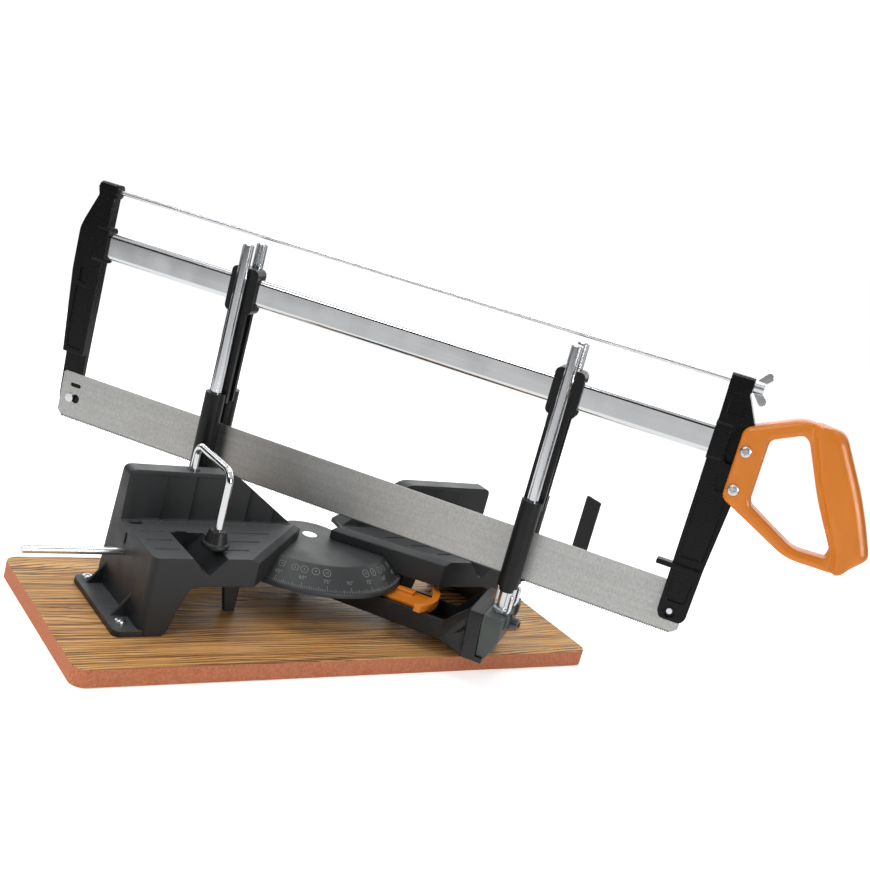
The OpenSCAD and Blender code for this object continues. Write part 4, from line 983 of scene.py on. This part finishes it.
# Camera, fitted to the photograph
CAMERA_PLACE = (-0.5822, -0.9259, 0.4609)
right = Vector((0.8116, -0.5266, 0.2531)).normalized()
forward = Vector((0.5800, 0.7782, -0.2406)).normalized()
up = right.cross(forward).normalized()
right = forward.cross(up).normalized()
camera = bpy.data.objects.new("camera", bpy.data.cameras.new("camera"))
camera.data.sensor_width = 36.0
camera.data.lens = 52.41
camera.data.clip_end = 50.0
camera.matrix_world = Matrix.Translation(CAMERA_PLACE) @ Matrix((
    (right.x, up.x, -forward.x), (right.y, up.y, -forward.y), (right.z, up.z, -forward.z))).to_4x4()
bpy.context.scene.collection.objects.link(camera)
bpy.context.scene.camera = camera


# Pale floor and backdrop

def stage_piece(name, verts, faces, colour, glow):
    """Adds a matt grey piece of the stage that also glows white."""
    mesh = bpy.data.meshes.new(name)
    mesh.from_pydata(verts, [], faces)
    piece = bpy.data.objects.new(name, mesh)
    bpy.context.scene.collection.objects.link(piece)
    m = Nodes(name)
    m.set(Base_Color=(colour, colour, colour, 1.0), Roughness=0.9, Specular_IOR_Level=0.0)
    m.set(Emission_Color=(1.0, 1.0, 1.0, 1.0), Emission_Strength=glow)
    mesh.materials.append(m.mat)
    return piece


def swept(name, one, two, bearings, colour, glow, steps=48):
    """Band round the origin between two (radius, height) pairs, from one bearing in degrees to another."""
    verts, faces = [], []
    start, end = bearings
    for k in range(steps + 1):
        angle = math.radians(start + (end - start) * k / steps)
        verts += [(radius * math.cos(angle), radius * math.sin(angle), z) for radius, z in (one, two)]
        if k:
            faces.append((2 * k - 2, 2 * k, 2 * k + 1, 2 * k - 1))
    return stage_piece(name, verts, faces, colour, glow)


def seen_only_by(ray, piece):
    """Hides a piece of the stage from every other kind of ray."""
    for other in ("camera", "diffuse", "glossy", "transmission", "shadow"):
        setattr(piece, "visible_" + other, other == ray)


ROUND = (0.0, 360.0)
CARD_GREY = 0.02
HALF_FLOOR = 12.0
FLOOR_Z = -0.0005
FAR_FLOOR_Z = -0.0004
SHEEN_Z = -0.0003
FLOOR_CORNERS = ((-1, -1), (1, -1), (1, 1), (-1, 1))
stage_piece("floor", [(x * HALF_FLOOR, y * HALF_FLOOR, FLOOR_Z) for x, y in FLOOR_CORNERS],
            [(0, 1, 2, 3)], 0.92, 0.5)
seen_only_by("camera", swept("backdrop", (HALF_FLOOR, -0.2), (HALF_FLOOR, 14.0), ROUND, 0.9, 1.0, 64))

# Pieces that only reflections see: a glowing floor, a bright strip that draws the light along the grip,
# dark strips round the table and a dark wall on the camera's side
NEAR_R = 0.85
GRIP_LIGHT_R = 1.6
seen_only_by("glossy", swept("near_sheen", (NEAR_R, SHEEN_Z), (0.02, SHEEN_Z), ROUND, CARD_GREY, 0.9))
seen_only_by("glossy", swept("far_sheen", (6.0, SHEEN_Z), (NEAR_R, SHEEN_Z), ROUND, CARD_GREY, 0.58))
seen_only_by("glossy", swept("grip_light", (GRIP_LIGHT_R, 0.2), (GRIP_LIGHT_R, 0.75), (272, 297),
                             CARD_GREY, 11.0, 24))
for k, (radius, high, bearings) in enumerate((
        (NEAR_R, 0.2, (-82, -47)), (NEAR_R, 0.2, (-12, 38)), (NEAR_R, 0.2, (68, 98)),
        (NEAR_R, 0.2, (113, 163)), (1.9, 1.2, (163, 278)))):
    card = swept("card_%d" % k, (radius, 0.0), (radius, high), bearings, CARD_GREY, 0.0, 24)
    seen_only_by("glossy", card)

# White far floor, for the camera alone
seen_only_by("camera", swept("far_floor", (HALF_FLOOR + 0.5, FAR_FLOOR_Z), (1.1, FAR_FLOOR_Z), ROUND,
                             CARD_GREY, 1.0))

# Bright wall behind the saw, out of the camera's sight
GLOW_R = 3.5
glow_wall = swept("glow_wall", (GLOW_R, 0.0), (GLOW_R, 3.0), (-5.0, 115.0), 0.8, 0.9, 24)
glow_wall.visible_camera = False


# Soft studio light: dim near the horizon, and bright above

def studio_world(levels):
    """Grey world whose brightness follows the direction's height, from 0 at the horizon to 1 overhead."""
    world = bpy.data.worlds.new("studio")
    world.use_nodes = True
    tree = world.node_tree
    coord = tree.nodes.new("ShaderNodeTexCoord")
    split = tree.nodes.new("ShaderNodeSeparateXYZ")
    tree.links.new(coord.outputs["Generated"], split.inputs["Vector"])
    node = tree.nodes.new("ShaderNodeValToRGB")
    points = node.color_ramp.elements
    while len(points) < len(levels):
        points.new(0.5)
    for point, (place, level) in zip(points, levels):
        point.position = place
        point.color = (level, level, level, 1.0)
    tree.links.new(split.outputs["Z"], node.inputs["Fac"])
    tree.links.new(node.outputs["Color"], tree.nodes["Background"].inputs["Color"])
    bpy.context.scene.world = world


studio_world([(0.0, 0.05), (0.32, 0.05), (0.5, 0.55), (1.0, 0.55)])


LIT_POINT = (0, 0, 0.1)


def area_light(name, place, size, power):
    """Adds a rectangular light that faces the saw."""
    light = bpy.data.lights.new(name, "AREA")
    light.shape = "RECTANGLE"
    light.size, light.size_y = size
    light.energy = power
    obj = bpy.data.objects.new(name, light)
    obj.location = place
    obj.rotation_euler = (Vector(LIT_POINT) - Vector(place)).to_track_quat("-Z", "Y").to_euler()
    bpy.context.scene.collection.objects.link(obj)


area_light("ceiling", (0.0, 0.3, 2.3), (1.5, 1.2), 22)
area_light("key", (-2.2, -0.9, 1.5), (0.9, 0.9), 20)
bpy.context.scene.view_settings.view_transform = "Standard"
